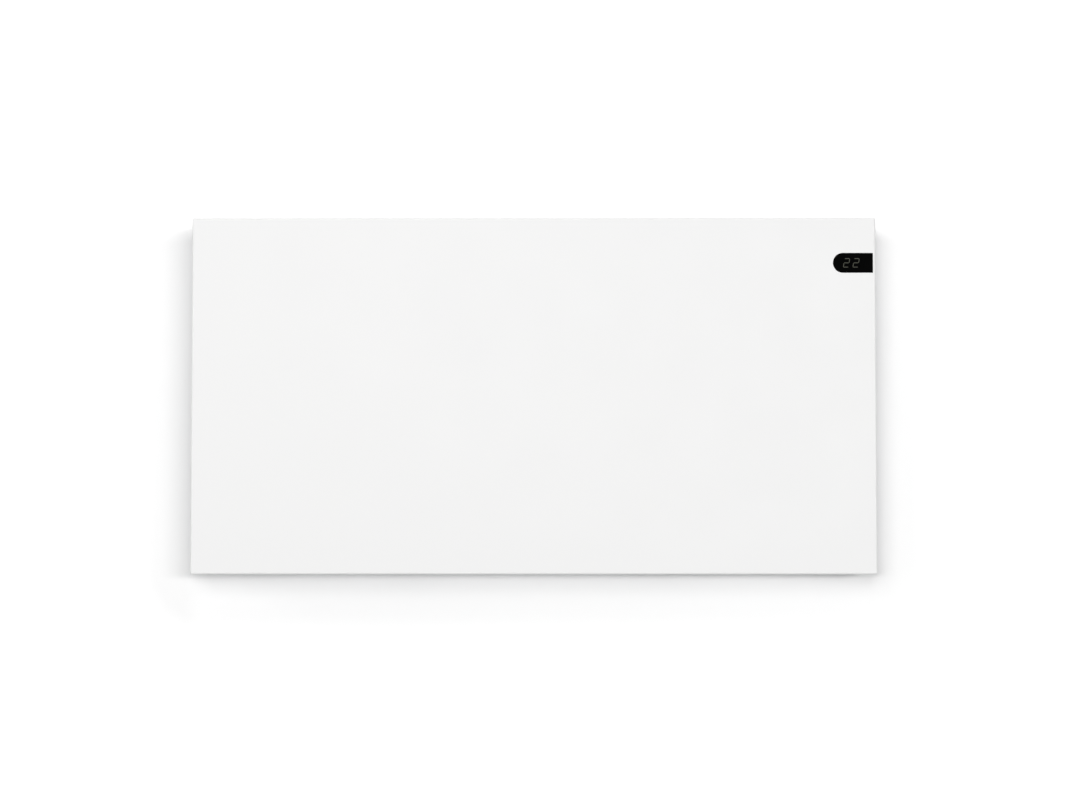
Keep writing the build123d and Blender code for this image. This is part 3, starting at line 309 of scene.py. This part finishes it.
def dusted(tree, skin, body, amount):
    """Lays settled dust over a body colour."""
    settled = shared(tree, "dust", Amount=amount)
    tree.links.new(mixed(tree, settled.outputs["Mask"], body, DUST_COLOUR), skin.inputs["Base Color"])


def moulded(name, colour, roughness, cells=900.0, depth=0.00003, variation=0.04, dust=0.15,
            specular=0.5, coat=0.0):
    """Painted, moulded or rubbery surfaces: fine grain, uneven gloss, a little settled dust."""
    made, tree, skin = blank(name, colour, roughness, specular=specular, coat=coat)
    grain = shared(tree, "grain", Cells=cells, Patches=18.0)
    dusted(tree, skin, mixed(tree, grain.outputs["Mask"], scaled(colour, 1.0 - variation), colour), dust)
    uneven_gloss(tree, skin, grain.outputs["Mask"], roughness, smoother=0.86, rougher=1.14)
    raise_bump(tree, skin, grain.outputs["Height"], 0.35, depth)
    return made


def sheet_metal(name, colour, roughness, spangle=0.0, lines=900.0, depth=0.00002, dust=0.2):
    """Bare metal: rolling lines, zinc crystals where it is coated, a dull film of dust."""
    made, tree, skin = blank(name, colour, roughness, metallic=1.0)
    rolled = shared(tree, "rolled", Lines=lines)
    tone = rolled.outputs["Height"]
    if spangle:
        tone = shared(tree, "spangle", Crystals=140.0).outputs["Tone"]
    dusted(tree, skin, mixed(tree, tone, scaled(colour, 0.9 - spangle), colour), dust)
    uneven_gloss(tree, skin, tone, roughness, smoother=0.8, rougher=1.25)
    raise_bump(tree, skin, rolled.outputs["Height"], 0.3, depth)
    return made


def striped(name, first, second, stripe_edge=0.6):
    """Lead insulation with a stripe of a second colour that winds along it."""
    made, tree, skin = blank(name, first, 0.5)
    wave = node(tree, "ShaderNodeTexWave", {"bands_direction": "DIAGONAL"}, Scale=90.0, Distortion=0.4)
    tree.links.new(own_place(tree), wave.inputs["Vector"])
    stripe = worked(tree, "GREATER_THAN", wave.outputs["Fac"], stripe_edge)
    grain = shared(tree, "grain", Cells=2200.0, Patches=30.0)
    tree.links.new(mixed(tree, stripe, first, second), skin.inputs["Base Color"])
    uneven_gloss(tree, skin, grain.outputs["Mask"], 0.5, smoother=0.88, rougher=1.16)
    raise_bump(tree, skin, grain.outputs["Height"], 0.3, 0.00003)
    return made


def circuit_board(name, colour, cells=260.0, pad_reach=0.17):
    """Solder mask over copper tracks, with bright round pads."""
    made, tree, skin = blank(name, colour, 0.35, coat=0.25)
    place = own_place(tree)
    tracks = node(tree, "ShaderNodeTexBrick", {"offset": 0.37}, Scale=cells, Mortar_Size=0.06,
                  Color1=(*colour, 1.0), Color2=(*scaled(colour, 0.8), 1.0),
                  Mortar=(*[channel * 1.7 + 0.01 for channel in colour], 1.0))
    turned = node(tree, "ShaderNodeMapping", Rotation=(0.0, math.radians(90), 0.0))
    pads = node(tree, "ShaderNodeTexVoronoi", Scale=cells)
    tree.links.new(place, turned.inputs["Vector"])
    tree.links.new(turned.outputs["Vector"], tracks.inputs["Vector"])
    tree.links.new(place, pads.inputs["Vector"])
    pad = worked(tree, "LESS_THAN", pads.outputs["Distance"], pad_reach)
    tree.links.new(mixed(tree, pad, tracks.outputs["Color"], PAD_COLOUR), skin.inputs["Base Color"])
    raise_bump(tree, skin, tracks.outputs["Fac"], 0.2, 0.00002)
    return made


def gloss_black(name, colour, haze):
    """Polished acrylic: near black, with faint smears in its gloss."""
    made, tree, skin = blank(name, colour, 0.07, specular=0.015)
    grain = shared(tree, "grain", Cells=90.0, Patches=45.0)
    tree.links.new(ranged(tree, grain.outputs["Mask"], 0.04, haze), skin.inputs["Roughness"])
    tree.links.new(mixed(tree, grain.outputs["Mask"], colour, scaled(colour, 1.6)), skin.inputs["Base Color"])
    return made


def glow(name, colour, strength):
    """Dim light through smoked windows, a little uneven along each bar."""
    made, tree, skin = blank(name, (0.004, 0.004, 0.0035), 0.2, specular=0.03)
    grain = shared(tree, "grain", Cells=2400.0, Patches=700.0)
    tree.links.new(mixed(tree, grain.outputs["Mask"], scaled(colour, 0.85), colour),
                   skin.inputs["Emission Color"])
    skin.inputs["Emission Strength"].default_value = strength
    return made


def finishes(look):
    """Every material slot of the record, with the maker of its finish and what the maker is given."""
    return {
        "white_powder_coat": (moulded, (tuple(look.casing_colour), look.casing_roughness),
                              {"cells": 650.0, "depth": look.peel_depth, "variation": 0.012, "dust": 0.05}),
        "galvanised_sheet": (sheet_metal, ((0.635, 0.645, 0.655), 0.42), {"spangle": 0.14}),
        "bracket_zinc": (sheet_metal, ((0.68, 0.69, 0.70), 0.36), {"spangle": 0.05}),
        "shield_aluminium": (sheet_metal, ((0.76, 0.77, 0.78), 0.26), {}),
        "fin_aluminium": (sheet_metal, ((0.70, 0.71, 0.72), 0.38), {"lines": 1400.0}),
        "sheath_steel": (sheet_metal, ((0.46, 0.42, 0.36), 0.40), {"lines": 1600.0}),
        "zinc_fasteners": (sheet_metal, ((0.72, 0.73, 0.74), 0.30), {"lines": 2600.0, "dust": 0.1}),
        "brass_contacts": (sheet_metal, ((0.80, 0.60, 0.28), 0.32), {"lines": 2600.0, "dust": 0.1}),
        "black_rubber": (moulded, ((0.025, 0.025, 0.026), 0.85),
                         {"cells": 1300.0, "dust": 0.3, "specular": 0.3}),
        "silicone_bush": (moulded, ((0.50, 0.14, 0.09), 0.62), {"cells": 1300.0}),
        "white_ceramic": (moulded, ((0.82, 0.80, 0.75), 0.55), {"cells": 2200.0, "variation": 0.08}),
        "phenolic_black": (moulded, ((0.030, 0.030, 0.033), 0.48), {"cells": 1500.0}),
        "grey_plastic": (moulded, ((0.50, 0.51, 0.52), 0.50), {}),
        "inlet_plastic": (moulded, ((0.80, 0.80, 0.79), 0.46), {}),
        "lever_plastic": (moulded, ((0.13, 0.135, 0.14), 0.52), {"cells": 1200.0, "depth": 0.00006}),
        "key_white": (moulded, ((0.84, 0.84, 0.835), 0.44),
                      {"cells": 1500.0, "variation": 0.02, "dust": 0.05}),
        "circuit_board": (circuit_board, ((0.03, 0.17, 0.07),), {}),
        "capacitor_sleeve": (moulded, ((0.03, 0.04, 0.09), 0.28), {"coat": 0.3}),
        "connector_white": (moulded, ((0.82, 0.80, 0.74), 0.38), {}),
        "black_gloss_acrylic": (gloss_black, ((0.0006, 0.0006, 0.0006), look.lens_haze), {}),
        "display_glow": (glow, (tuple(look.digit_colour), look.digit_strength), {}),
        "sensor_bead": (moulded, ((0.05, 0.05, 0.06), 0.22), {"coat": 0.4}),
        "lead_insulation": (moulded, ((0.70, 0.69, 0.65), 0.55), {"cells": 2200.0}),
        "sensor_insulation": (moulded, ((0.08, 0.08, 0.09), 0.48), {"cells": 2200.0}),
        "earth_insulation": (striped, ((0.60, 0.55, 0.03), (0.05, 0.30, 0.06)), {}),
    }


def finish_nodes(slots):
    """Gives the carried-over nodes of these slots their finish."""
    known = finishes(bpy.context.scene.heater_look)
    for part in frame["record"]["subparts"]:
        slot = part["material_slot"]
        if slot in slots:
            maker, given, options = known[slot]
            name = "finish_" + slot
            material = bpy.data.materials.get(name) or maker(name, *given, **options)
            held = frame["nodes"][part["node"]].data.materials
            for index in range(len(held)):
                held[index] = material
            if not len(held):
                held.append(material)


# ---- properties ---------------------------------------------------------------------------
class HeaterLook(bpy.types.PropertyGroup):
    """Colours, gloss and sizes that a user would change."""
    casing_colour: FloatVectorProperty(name="Casing colour", description="Powder coat of the casing",
                                       subtype="COLOR", size=3, default=(0.86, 0.86, 0.858))
    casing_roughness: FloatProperty(name="Casing roughness", description="Gloss of the powder coat",
                                    subtype="FACTOR", min=0.0, max=1.0, default=0.46)
    peel_depth: FloatProperty(name="Orange peel", description="Depth of the powder coat's texture",
                              subtype="DISTANCE", min=0.0, max=0.001, precision=6, default=0.00002)
    lens_haze: FloatProperty(name="Lens haze", description="Roughness of the smears on the lens",
                             subtype="FACTOR", min=0.0, max=1.0, default=0.12)
    digit_colour: FloatVectorProperty(name="Digit colour", description="Light of the display's digits",
                                      subtype="COLOR", size=3, default=(0.098, 0.100, 0.077))
    digit_strength: FloatProperty(name="Digit strength", description="Brightness of the digits",
                                  min=0.0, max=10.0, default=1.0)
    mark_colour: FloatVectorProperty(name="Mark colour", description="Ink of the raised marks on the keys",
                                     subtype="COLOR", size=3, default=(0.16, 0.16, 0.165))
    mark_size: FloatProperty(name="Mark size", description="Width of a mark on a key",
                             subtype="DISTANCE", unit="LENGTH", default=0.0036)


class HeaterStudio(bpy.types.PropertyGroup):
    """Camera, lamps and backdrop of the studio."""
    distance: FloatProperty(name="Camera distance", description="From the front's centre to the camera",
                            subtype="DISTANCE", unit="LENGTH", default=2.5)
    lens: FloatProperty(name="Lens", description="Focal length in millimetres", default=81.45)
    low_angle: FloatProperty(name="Low angle", description="How far the camera looks up",
                             subtype="ANGLE", default=math.radians(2.8))
    side_angle: FloatProperty(name="Side angle", description="How far the camera stands to the right",
                              subtype="ANGLE", default=math.radians(0.45))
    aim_drop: FloatProperty(name="Aim drop", description="How far below the front's centre it aims",
                            subtype="DISTANCE", unit="LENGTH", default=0.0048)
    left_power: FloatProperty(name="Left lamp", description="Power of the soft lamp on the left",
                              subtype="POWER", unit="POWER", default=23.0)
    right_power: FloatProperty(name="Right lamp", description="Power of the soft lamp on the right",
                               subtype="POWER", unit="POWER", default=136.0)
    side_power: FloatProperty(name="Side lamp", description="Power of the weak lamp far to the left",
                              subtype="POWER", unit="POWER", default=7.5)
    top_power: FloatProperty(name="Top lamp", description="Power of the soft lamp overhead",
                             subtype="POWER", unit="POWER", default=24.0)
    back_power: FloatProperty(name="Back lamp", description="Power of the soft lamp behind the wall",
                              subtype="POWER", unit="POWER", default=20.0)
    ambient: FloatProperty(name="Ambient", description="Strength of the even light from all round",
                           default=0.48)
    wall_lift: FloatProperty(name="Wall lift", description="Whiteness added to the wall for the camera",
                             default=0.46)
    # Depth of the painted shadow round the heater at its left end, as lift taken off the wall
    painted_shadow_depth: FloatProperty(name="Held back", description="How much less of it at the heater's left end",
                             default=0.31)
    floor_lift: FloatProperty(name="Floor lift", description="Whiteness added to the floor for the camera",
                              default=0.60)


# ---- operators for the finishes ---------------------------------------------------------------
class HEATER_OT_casing(bpy.types.Operator):
    """Powder coats the casing"""
    bl_idname = "heater.casing"
    bl_label = "Casing finish"

    def execute(self, context):
        finish_nodes({"white_powder_coat"})
        return {"FINISHED"}


class HEATER_OT_sheets(bpy.types.Operator):
    """Finishes the bracket, cover, shields, partition and fasteners"""
    bl_idname = "heater.sheets"
    bl_label = "Sheet metal and fasteners"

    def execute(self, context):
        finish_nodes({"galvanised_sheet", "bracket_zinc", "shield_aluminium", "zinc_fasteners",
                      "black_rubber", "lever_plastic"})
        return {"FINISHED"}


class HEATER_OT_element(bpy.types.Operator):
    """Finishes the element, its bushes, ceramics and cut-out"""
    bl_idname = "heater.element"
    bl_label = "Element finish"

    def execute(self, context):
        finish_nodes({"fin_aluminium", "sheath_steel", "silicone_bush", "white_ceramic"})
        return {"FINISHED"}


class HEATER_OT_controls(bpy.types.Operator):
    """Finishes the boards, housings, terminals, leads and sensor"""
    bl_idname = "heater.controls"
    bl_label = "Controls and wiring"

    def execute(self, context):
        finish_nodes({"phenolic_black", "grey_plastic", "inlet_plastic", "circuit_board", "capacitor_sleeve",
                      "connector_white", "sensor_bead", "lead_insulation", "sensor_insulation",
                      "earth_insulation", "brass_contacts", "key_white"})
        return {"FINISHED"}


class HEATER_OT_display(bpy.types.Operator):
    """Finishes the black lens and its dim digits"""
    bl_idname = "heater.display"
    bl_label = "Display finish"

    def execute(self, context):
        finish_nodes({"black_gloss_acrylic", "display_glow"})
        return {"FINISHED"}


# ---- raised marks on the keys ---------------------------------------------------------------
def key_face(key):
    """Middle of a key's outer face, and the room left in front of it inside the heater's box."""
    low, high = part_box(key)
    room = CAD_BOX[1][0] - high[0]
    return Vector((high[0], (low[1] + high[1]) / 2, (low[2] + high[2]) / 2)), room


def start_piece(name, add, **settings):
    """Deselects everything, adds a primitive and names it, with its place in its mesh."""
    bpy.ops.object.select_all(action="DESELECT")
    add(**settings)
    piece = bpy.context.object
    piece.name = name
    bpy.ops.object.transform_apply(location=True, rotation=True, scale=True)
    return piece


def pick(piece, mode, wanted):
    """Selects the edges or faces whose corners pass a test, and leaves the piece in edit mode."""
    bpy.ops.object.mode_set(mode="EDIT")
    bpy.ops.mesh.select_mode(type=mode)
    bpy.ops.mesh.select_all(action="DESELECT")
    bpy.ops.object.mode_set(mode="OBJECT")
    corners = piece.data.vertices
    for item in piece.data.edges if mode == "EDGE" else piece.data.polygons:
        item.select = wanted([corners[index].co for index in item.vertices])
    bpy.ops.object.mode_set(mode="EDIT")


def soften(piece, centre, length, width, height):
    """Rounds the ends of a flat mark, then the rim of its top."""
    reach = length / 2 - width * 0.1
    top = max(vertex.co.x for vertex in piece.data.vertices)
    pick(piece, "EDGE", lambda ends: abs(ends[0].x - ends[1].x) > height / 2
         and max(abs(ends[0].y - centre.y), abs(ends[0].z - centre.z)) > reach)
    bpy.ops.mesh.bevel(offset=width * END_ROUNDING, segments=5)
    pick(piece, "EDGE", lambda ends: all(abs(end.x - top) < height * 0.01 for end in ends))
    bpy.ops.mesh.bevel(offset=height * RIM_ROUNDING, segments=2)
    bpy.ops.object.mode_set(mode="OBJECT")


def raised_bar(name, centre, length, width, height, upright):
    """A rounded bar that stands on a key, with its long side along Z if upright, or else along Y."""
    bar = start_piece(name, bpy.ops.mesh.primitive_cube_add, size=1.0, location=centre,
                      scale=(height, width, length) if upright else (height, length, width))
    soften(bar, centre, length, width, height)
    return bar


def raised_cross(name, centre, length, width, height):
    """A cross of two rounded bars in one piece: a grid of nine faces without its corners, made solid."""
    cross = start_piece(name, bpy.ops.mesh.primitive_grid_add, x_subdivisions=CROSS_CELLS,
                        y_subdivisions=CROSS_CELLS, size=length, location=centre,
                        rotation=(0.0, math.radians(90), 0.0))
    narrower = CROSS_CELLS * width / length
    pick(cross, "EDGE", lambda ends: all(abs(end.y - centre.y) < length / 4 for end in ends))
    bpy.ops.transform.resize(value=(1.0, narrower, 1.0), center_override=centre)
    pick(cross, "EDGE", lambda ends: all(abs(end.z - centre.z) < length / 4 for end in ends))
    bpy.ops.transform.resize(value=(1.0, 1.0, narrower), center_override=centre)
    pick(cross, "FACE", lambda ends: min(abs(sum(end.y - centre.y for end in ends)),
                                         abs(sum(end.z - centre.z for end in ends))) > width * len(ends) / 2)
    bpy.ops.mesh.delete(type="FACE")
    bpy.ops.object.mode_set(mode="OBJECT")
    solid = cross.modifiers.new("solid", "SOLIDIFY")
    solid.thickness = height
    solid.offset = 0.0
    bpy.ops.object.modifier_apply(modifier=solid.name)
    soften(cross, centre, length, width, height)
    return cross


def raised_ring(name, centre, radius, width, height, gap):
    """A ring that stands on a key, open at the top by an angle, with closed ends."""
    ring = start_piece(name, bpy.ops.mesh.primitive_torus_add, location=centre,
                       rotation=(0.0, math.radians(90), 0.0), major_radius=radius, minor_radius=width / 2,
                       major_segments=72, minor_segments=12)
    pick(ring, "FACE", lambda ends: abs(math.atan2(sum(end.y - centre.y for end in ends),
                                                   sum(end.z - centre.z for end in ends))) < gap / 2)
    bpy.ops.mesh.delete(type="FACE")
    bpy.ops.mesh.select_all(action="SELECT")
    bpy.ops.mesh.fill_holes(sides=16)
    bpy.ops.mesh.select_all(action="SELECT")
    bpy.ops.transform.resize(value=(height / width, 1.0, 1.0), center_override=centre)
    bpy.ops.mesh.normals_make_consistent(inside=False)
    bpy.ops.object.mode_set(mode="OBJECT")
    bpy.ops.object.shade_smooth_by_angle(angle=math.radians(40))
    return ring


def mark_ink():
    """The dark ink of the marks, made once."""
    colour = tuple(bpy.context.scene.heater_look.mark_colour)
    return bpy.data.materials.get("key_mark_ink") or moulded("key_mark_ink", colour, 0.42, cells=2600.0,
                                                             depth=0.00001, variation=0.10, dust=0.0)


def finish_mark(parts, name, key):
    """Joins a mark's parts, inks it and lets it ride on its key."""
    bpy.ops.object.select_all(action="DESELECT")
    for part in parts:
        part.select_set(True)
    bpy.context.view_layer.objects.active = parts[0]
    if len(parts) > 1:
        bpy.ops.object.join()
    mark = bpy.context.object
    mark.name = name
    mark.data.name = name
    mark.data.materials.clear()
    mark.data.materials.append(mark_ink())
    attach(mark, key)


class HEATER_OT_key_marks(bpy.types.Operator):
    """Adds the raised power, minus and plus marks to the keys"""
    bl_idname = "heater.key_marks"
    bl_label = "Key marks"

    def execute(self, context):
        size = context.scene.heater_look.mark_size
        width = size * MARK["stroke"]
        power, room = key_face("key_power")
        minus, plus = key_face("key_minus")[0], key_face("key_plus")[0]
        height = room * MARK_HEIGHT
        outward = Vector((height * (0.5 - SUNK), 0.0, 0.0))
        stem_place = power + outward + Vector((0.0, 0.0, size * MARK["stem_rise"]))
        ring = raised_ring("power_ring", power, size * MARK["ring_radius"], width, height * RING_HEIGHT,
                           RING_GAP)
        stem = raised_bar("power_stem", stem_place, size * MARK["stem_length"], width, height, upright=True)
        bar = raised_bar("minus_bar", minus + outward, size, width, height, upright=False)
        cross = raised_cross("plus_cross", plus + outward, size, width, height)
        finish_mark([ring, stem], "power_mark", "key_power")
        finish_mark([bar], "minus_mark", "key_minus")
        finish_mark([cross], "plus_mark", "key_plus")
        return {"FINISHED"}


# ---- studio ---------------------------------------------------------------------------------
def look_at(obj, target):
    """Turns an object so that its -Z looks at a point."""
    obj.rotation_euler = (Vector(target) - obj.location).to_track_quat("-Z", "Y").to_euler()


def blended(tree, share, first, second, end):
    """Ends a tree in a mix of two shaders, the second by a share."""
    blend = tree.nodes.new("ShaderNodeMixShader")
    for index, source in enumerate((share, first, second)):
        tree.links.new(source, blend.inputs[index])
    tree.links.new(blend.outputs[0], tree.nodes[end].inputs["Surface"])


def painted_shadow_near_heater(tree, painted_shadow_depth):
    """Painted shadow: how much of the wall's lift is held back, most close beside and below the heater, none
    above it.
    """
    low, high = CAD_BOX
    place = parted(tree, own_place(tree))
    side = worked(tree, "ABSOLUTE", place["X"])
    beside = past(tree, side, high[0])
    below = past(tree, worked(tree, "MULTIPLY", place["Z"], -1.0), -low[2])
    away = worked(tree, "SQRT", worked(tree, "ADD", worked(tree, "POWER", beside, 2.0),
                                       worked(tree, "POWER", below, 2.0)))
    leftward = fade(tree, place["X"], low[0], high[0])
    rightward = rest_of(tree, leftward)

    under = product(tree, rest_of(tree, fade(tree, below, 0.0, UNDER_REACH)),
                    fade(tree, beside, 0.0, UNDER_END), leftward, UNDER_LESS)
    all_round = product(tree, fade(tree, away, *HOLD_REACH),
                        worked(tree, "SUBTRACT", between(tree, rightward, painted_shadow_depth, HOLD_RIGHT), under))
    at_ends = product(tree, worked(tree, "POWER", fade(tree, beside, 0.0, END_REACH), END_DROP),
                      fade(tree, below, 0.0, END_BELOW), between(tree, rightward, END_LEFT, END_RIGHT))
    from_middle = worked(tree, "DIVIDE", side, high[0])
    at_corners = product(tree, fade(tree, away, *CORNER_REACH),
                         worked(tree, "POWER", from_middle, CORNER_RISE), CORNER_HOLD)
    held = worked(tree, "ADD", worked(tree, "ADD", all_round, at_ends), at_corners)
    return product(tree, held, fade(tree, place["Z"], high[2] + HOLD_TOP[0], high[2] + HOLD_TOP[1]))


def backdrop_material(name, colour, lift, painted_shadow_depth=None):
    """White backdrop that keeps the heater's cast shadow, and with a depth given, paints more shadow round
    it.
    It shows to the camera only, and from the front.
    """
    made = bpy.data.materials.new(name)
    made.use_nodes = True
    tree = made.node_tree
    tree.nodes.remove(tree.nodes["Principled BSDF"])
    paint = node(tree, "ShaderNodeBsdfDiffuse", Color=(colour, colour, colour, 1.0))
    light = node(tree, "ShaderNodeEmission", Color=(1.0, 1.0, 1.0, 1.0), Strength=lift)
    # Less lift close round the heater: a painted shadow, laid over the cast shadow
    if painted_shadow_depth is not None:
        level = past(tree, lift, painted_shadow_near_heater(tree, painted_shadow_depth))
        tree.links.new(level, light.inputs["Strength"])
    both = tree.nodes.new("ShaderNodeAddShader")
    tree.links.new(paint.outputs[0], both.inputs[0])
    tree.links.new(light.outputs[0], both.inputs[1])
    seen = worked(tree, "SUBTRACT", tree.nodes.new("ShaderNodeLightPath").outputs["Is Camera Ray"],
                  tree.nodes.new("ShaderNodeNewGeometry").outputs["Backfacing"], clamped=True)
    clear = tree.nodes.new("ShaderNodeBsdfTransparent")
    blended(tree, seen, clear.outputs[0], both.outputs[0], "Material Output")
    return made


def stage_plane(name, form, material):
    """A large flat sheet of the studio."""
    sheet = start_piece(name, bpy.ops.mesh.primitive_plane_add, size=form["size"], location=form["place"],
                        rotation=form["turn"])
    sheet.data.materials.append(material)


def area_lamp(name, power, form, target):
    """A soft rectangular lamp that looks at a point."""
    data = bpy.data.lights.new(name, "AREA")
    data.shape = "RECTANGLE"
    data.size, data.size_y = form["size"]
    data.energy = power
    lamp = bpy.data.objects.new(name, data)
    bpy.context.scene.collection.objects.link(lamp)
    lamp.location = form["place"]
    look_at(lamp, target)


def studio_camera(studio, centre):
    """The camera, a little below and to the right of the middle of the front."""
    camera = bpy.data.objects.new("studio_camera", bpy.data.cameras.new("studio_camera"))
    bpy.context.scene.collection.objects.link(camera)
    camera.data.lens = studio.lens
    camera.data.sensor_width = SENSOR_WIDTH
    away = Vector((math.sin(studio.side_angle) * math.cos(studio.low_angle),
                   -math.cos(studio.side_angle) * math.cos(studio.low_angle),
                   -math.sin(studio.low_angle)))
    camera.location = centre + away * studio.distance
    look_at(camera, centre - Vector((0.0, 0.0, studio.aim_drop)))
    bpy.context.scene.camera = camera


def studio_world(ambient):
    """Even light from all round, and plain white where the camera or a reflection sees past the wall."""
    world = bpy.data.worlds.new("studio_world")
    bpy.context.scene.world = world
    world.use_nodes = True
    tree = world.node_tree
    even = tree.nodes["Background"]
    even.inputs["Color"].default_value = (1.0, 1.0, 1.0, 1.0)
    even.inputs["Strength"].default_value = ambient
    white = node(tree, "ShaderNodeBackground", Color=(1.0, 1.0, 1.0, 1.0), Strength=1.0)
    path = tree.nodes.new("ShaderNodeLightPath").outputs
    seen = worked(tree, "MAXIMUM", worked(tree, "MAXIMUM", path["Is Camera Ray"], path["Is Glossy Ray"]),
                  path["Is Transmission Ray"])
    blended(tree, seen, even.outputs[0], white.outputs[0], "World Output")


class HEATER_OT_stage(bpy.types.Operator):
    """Sets up the wall, floor, lamps, world and camera"""
    bl_idname = "heater.stage"
    bl_label = "Studio"

    def execute(self, context):
        studio = context.scene.heater_studio
        low, high = CAD_BOX
        centre = Vector((0.0, low[1], (low[2] + high[2]) / 2))
        studio_camera(studio, centre)
        # The wall keeps the cast shadow and gets a painted shadow round the heater
        stage_plane("studio_wall", WALL,
                    backdrop_material("studio_wall", WALL["colour"], studio.wall_lift, studio.painted_shadow_depth))
        stage_plane("studio_floor", FLOOR,
                    backdrop_material("studio_floor", FLOOR["colour"], studio.floor_lift))
        for name, power, form in (("left_lamp", studio.left_power, LEFT_LAMP),
                                  ("right_lamp", studio.right_power, RIGHT_LAMP),
                                  ("side_lamp", studio.side_power, SIDE_LAMP),
                                  ("top_lamp", studio.top_power, TOP_LAMP),
                                  ("back_lamp", studio.back_power, BACK_LAMP)):
            area_lamp(name, power, form, centre)
        studio_world(studio.ambient)
        context.scene.view_settings.view_transform = "Standard"
        return {"FINISHED"}


# ---- panel and registration -------------------------------------------------------------------
class HEATER_PT_panel(bpy.types.Panel):
    """Lists the heater's steps and settings"""
    bl_idname = "HEATER_PT_panel"
    bl_label = "Wall Panel Heater"
    bl_space_type = "VIEW_3D"
    bl_region_type = "UI"
    bl_category = "Heater"

    def draw(self, context):
        column = self.layout.column()
        for settings in (context.scene.heater_look, context.scene.heater_studio):
            for name in settings.__annotations__:
                column.prop(settings, name)
        for step in STEPS:
            column.operator(step.bl_idname)


STEPS = (HEATER_OT_stage, HEATER_OT_casing, HEATER_OT_sheets, HEATER_OT_element, HEATER_OT_controls,
         HEATER_OT_display, HEATER_OT_key_marks)
CLASSES = (HeaterLook, HeaterStudio) + STEPS + (HEATER_PT_panel,)


def register():
    """Makes the classes and their settings known to Blender."""
    for cls in CLASSES:
        bpy.utils.register_class(cls)
    bpy.types.Scene.heater_look = PointerProperty(type=HeaterLook)
    bpy.types.Scene.heater_studio = PointerProperty(type=HeaterStudio)


def unregister():
    """Takes them back out."""
    del bpy.types.Scene.heater_studio
    del bpy.types.Scene.heater_look
    for cls in reversed(CLASSES):
        bpy.utils.unregister_class(cls)


def main():
    """Runs every step in order."""
    register()
    for step in STEPS:
        family, action = step.bl_idname.split(".")
        getattr(getattr(bpy.ops, family), action)()


if __name__ == "__main__":
    main()
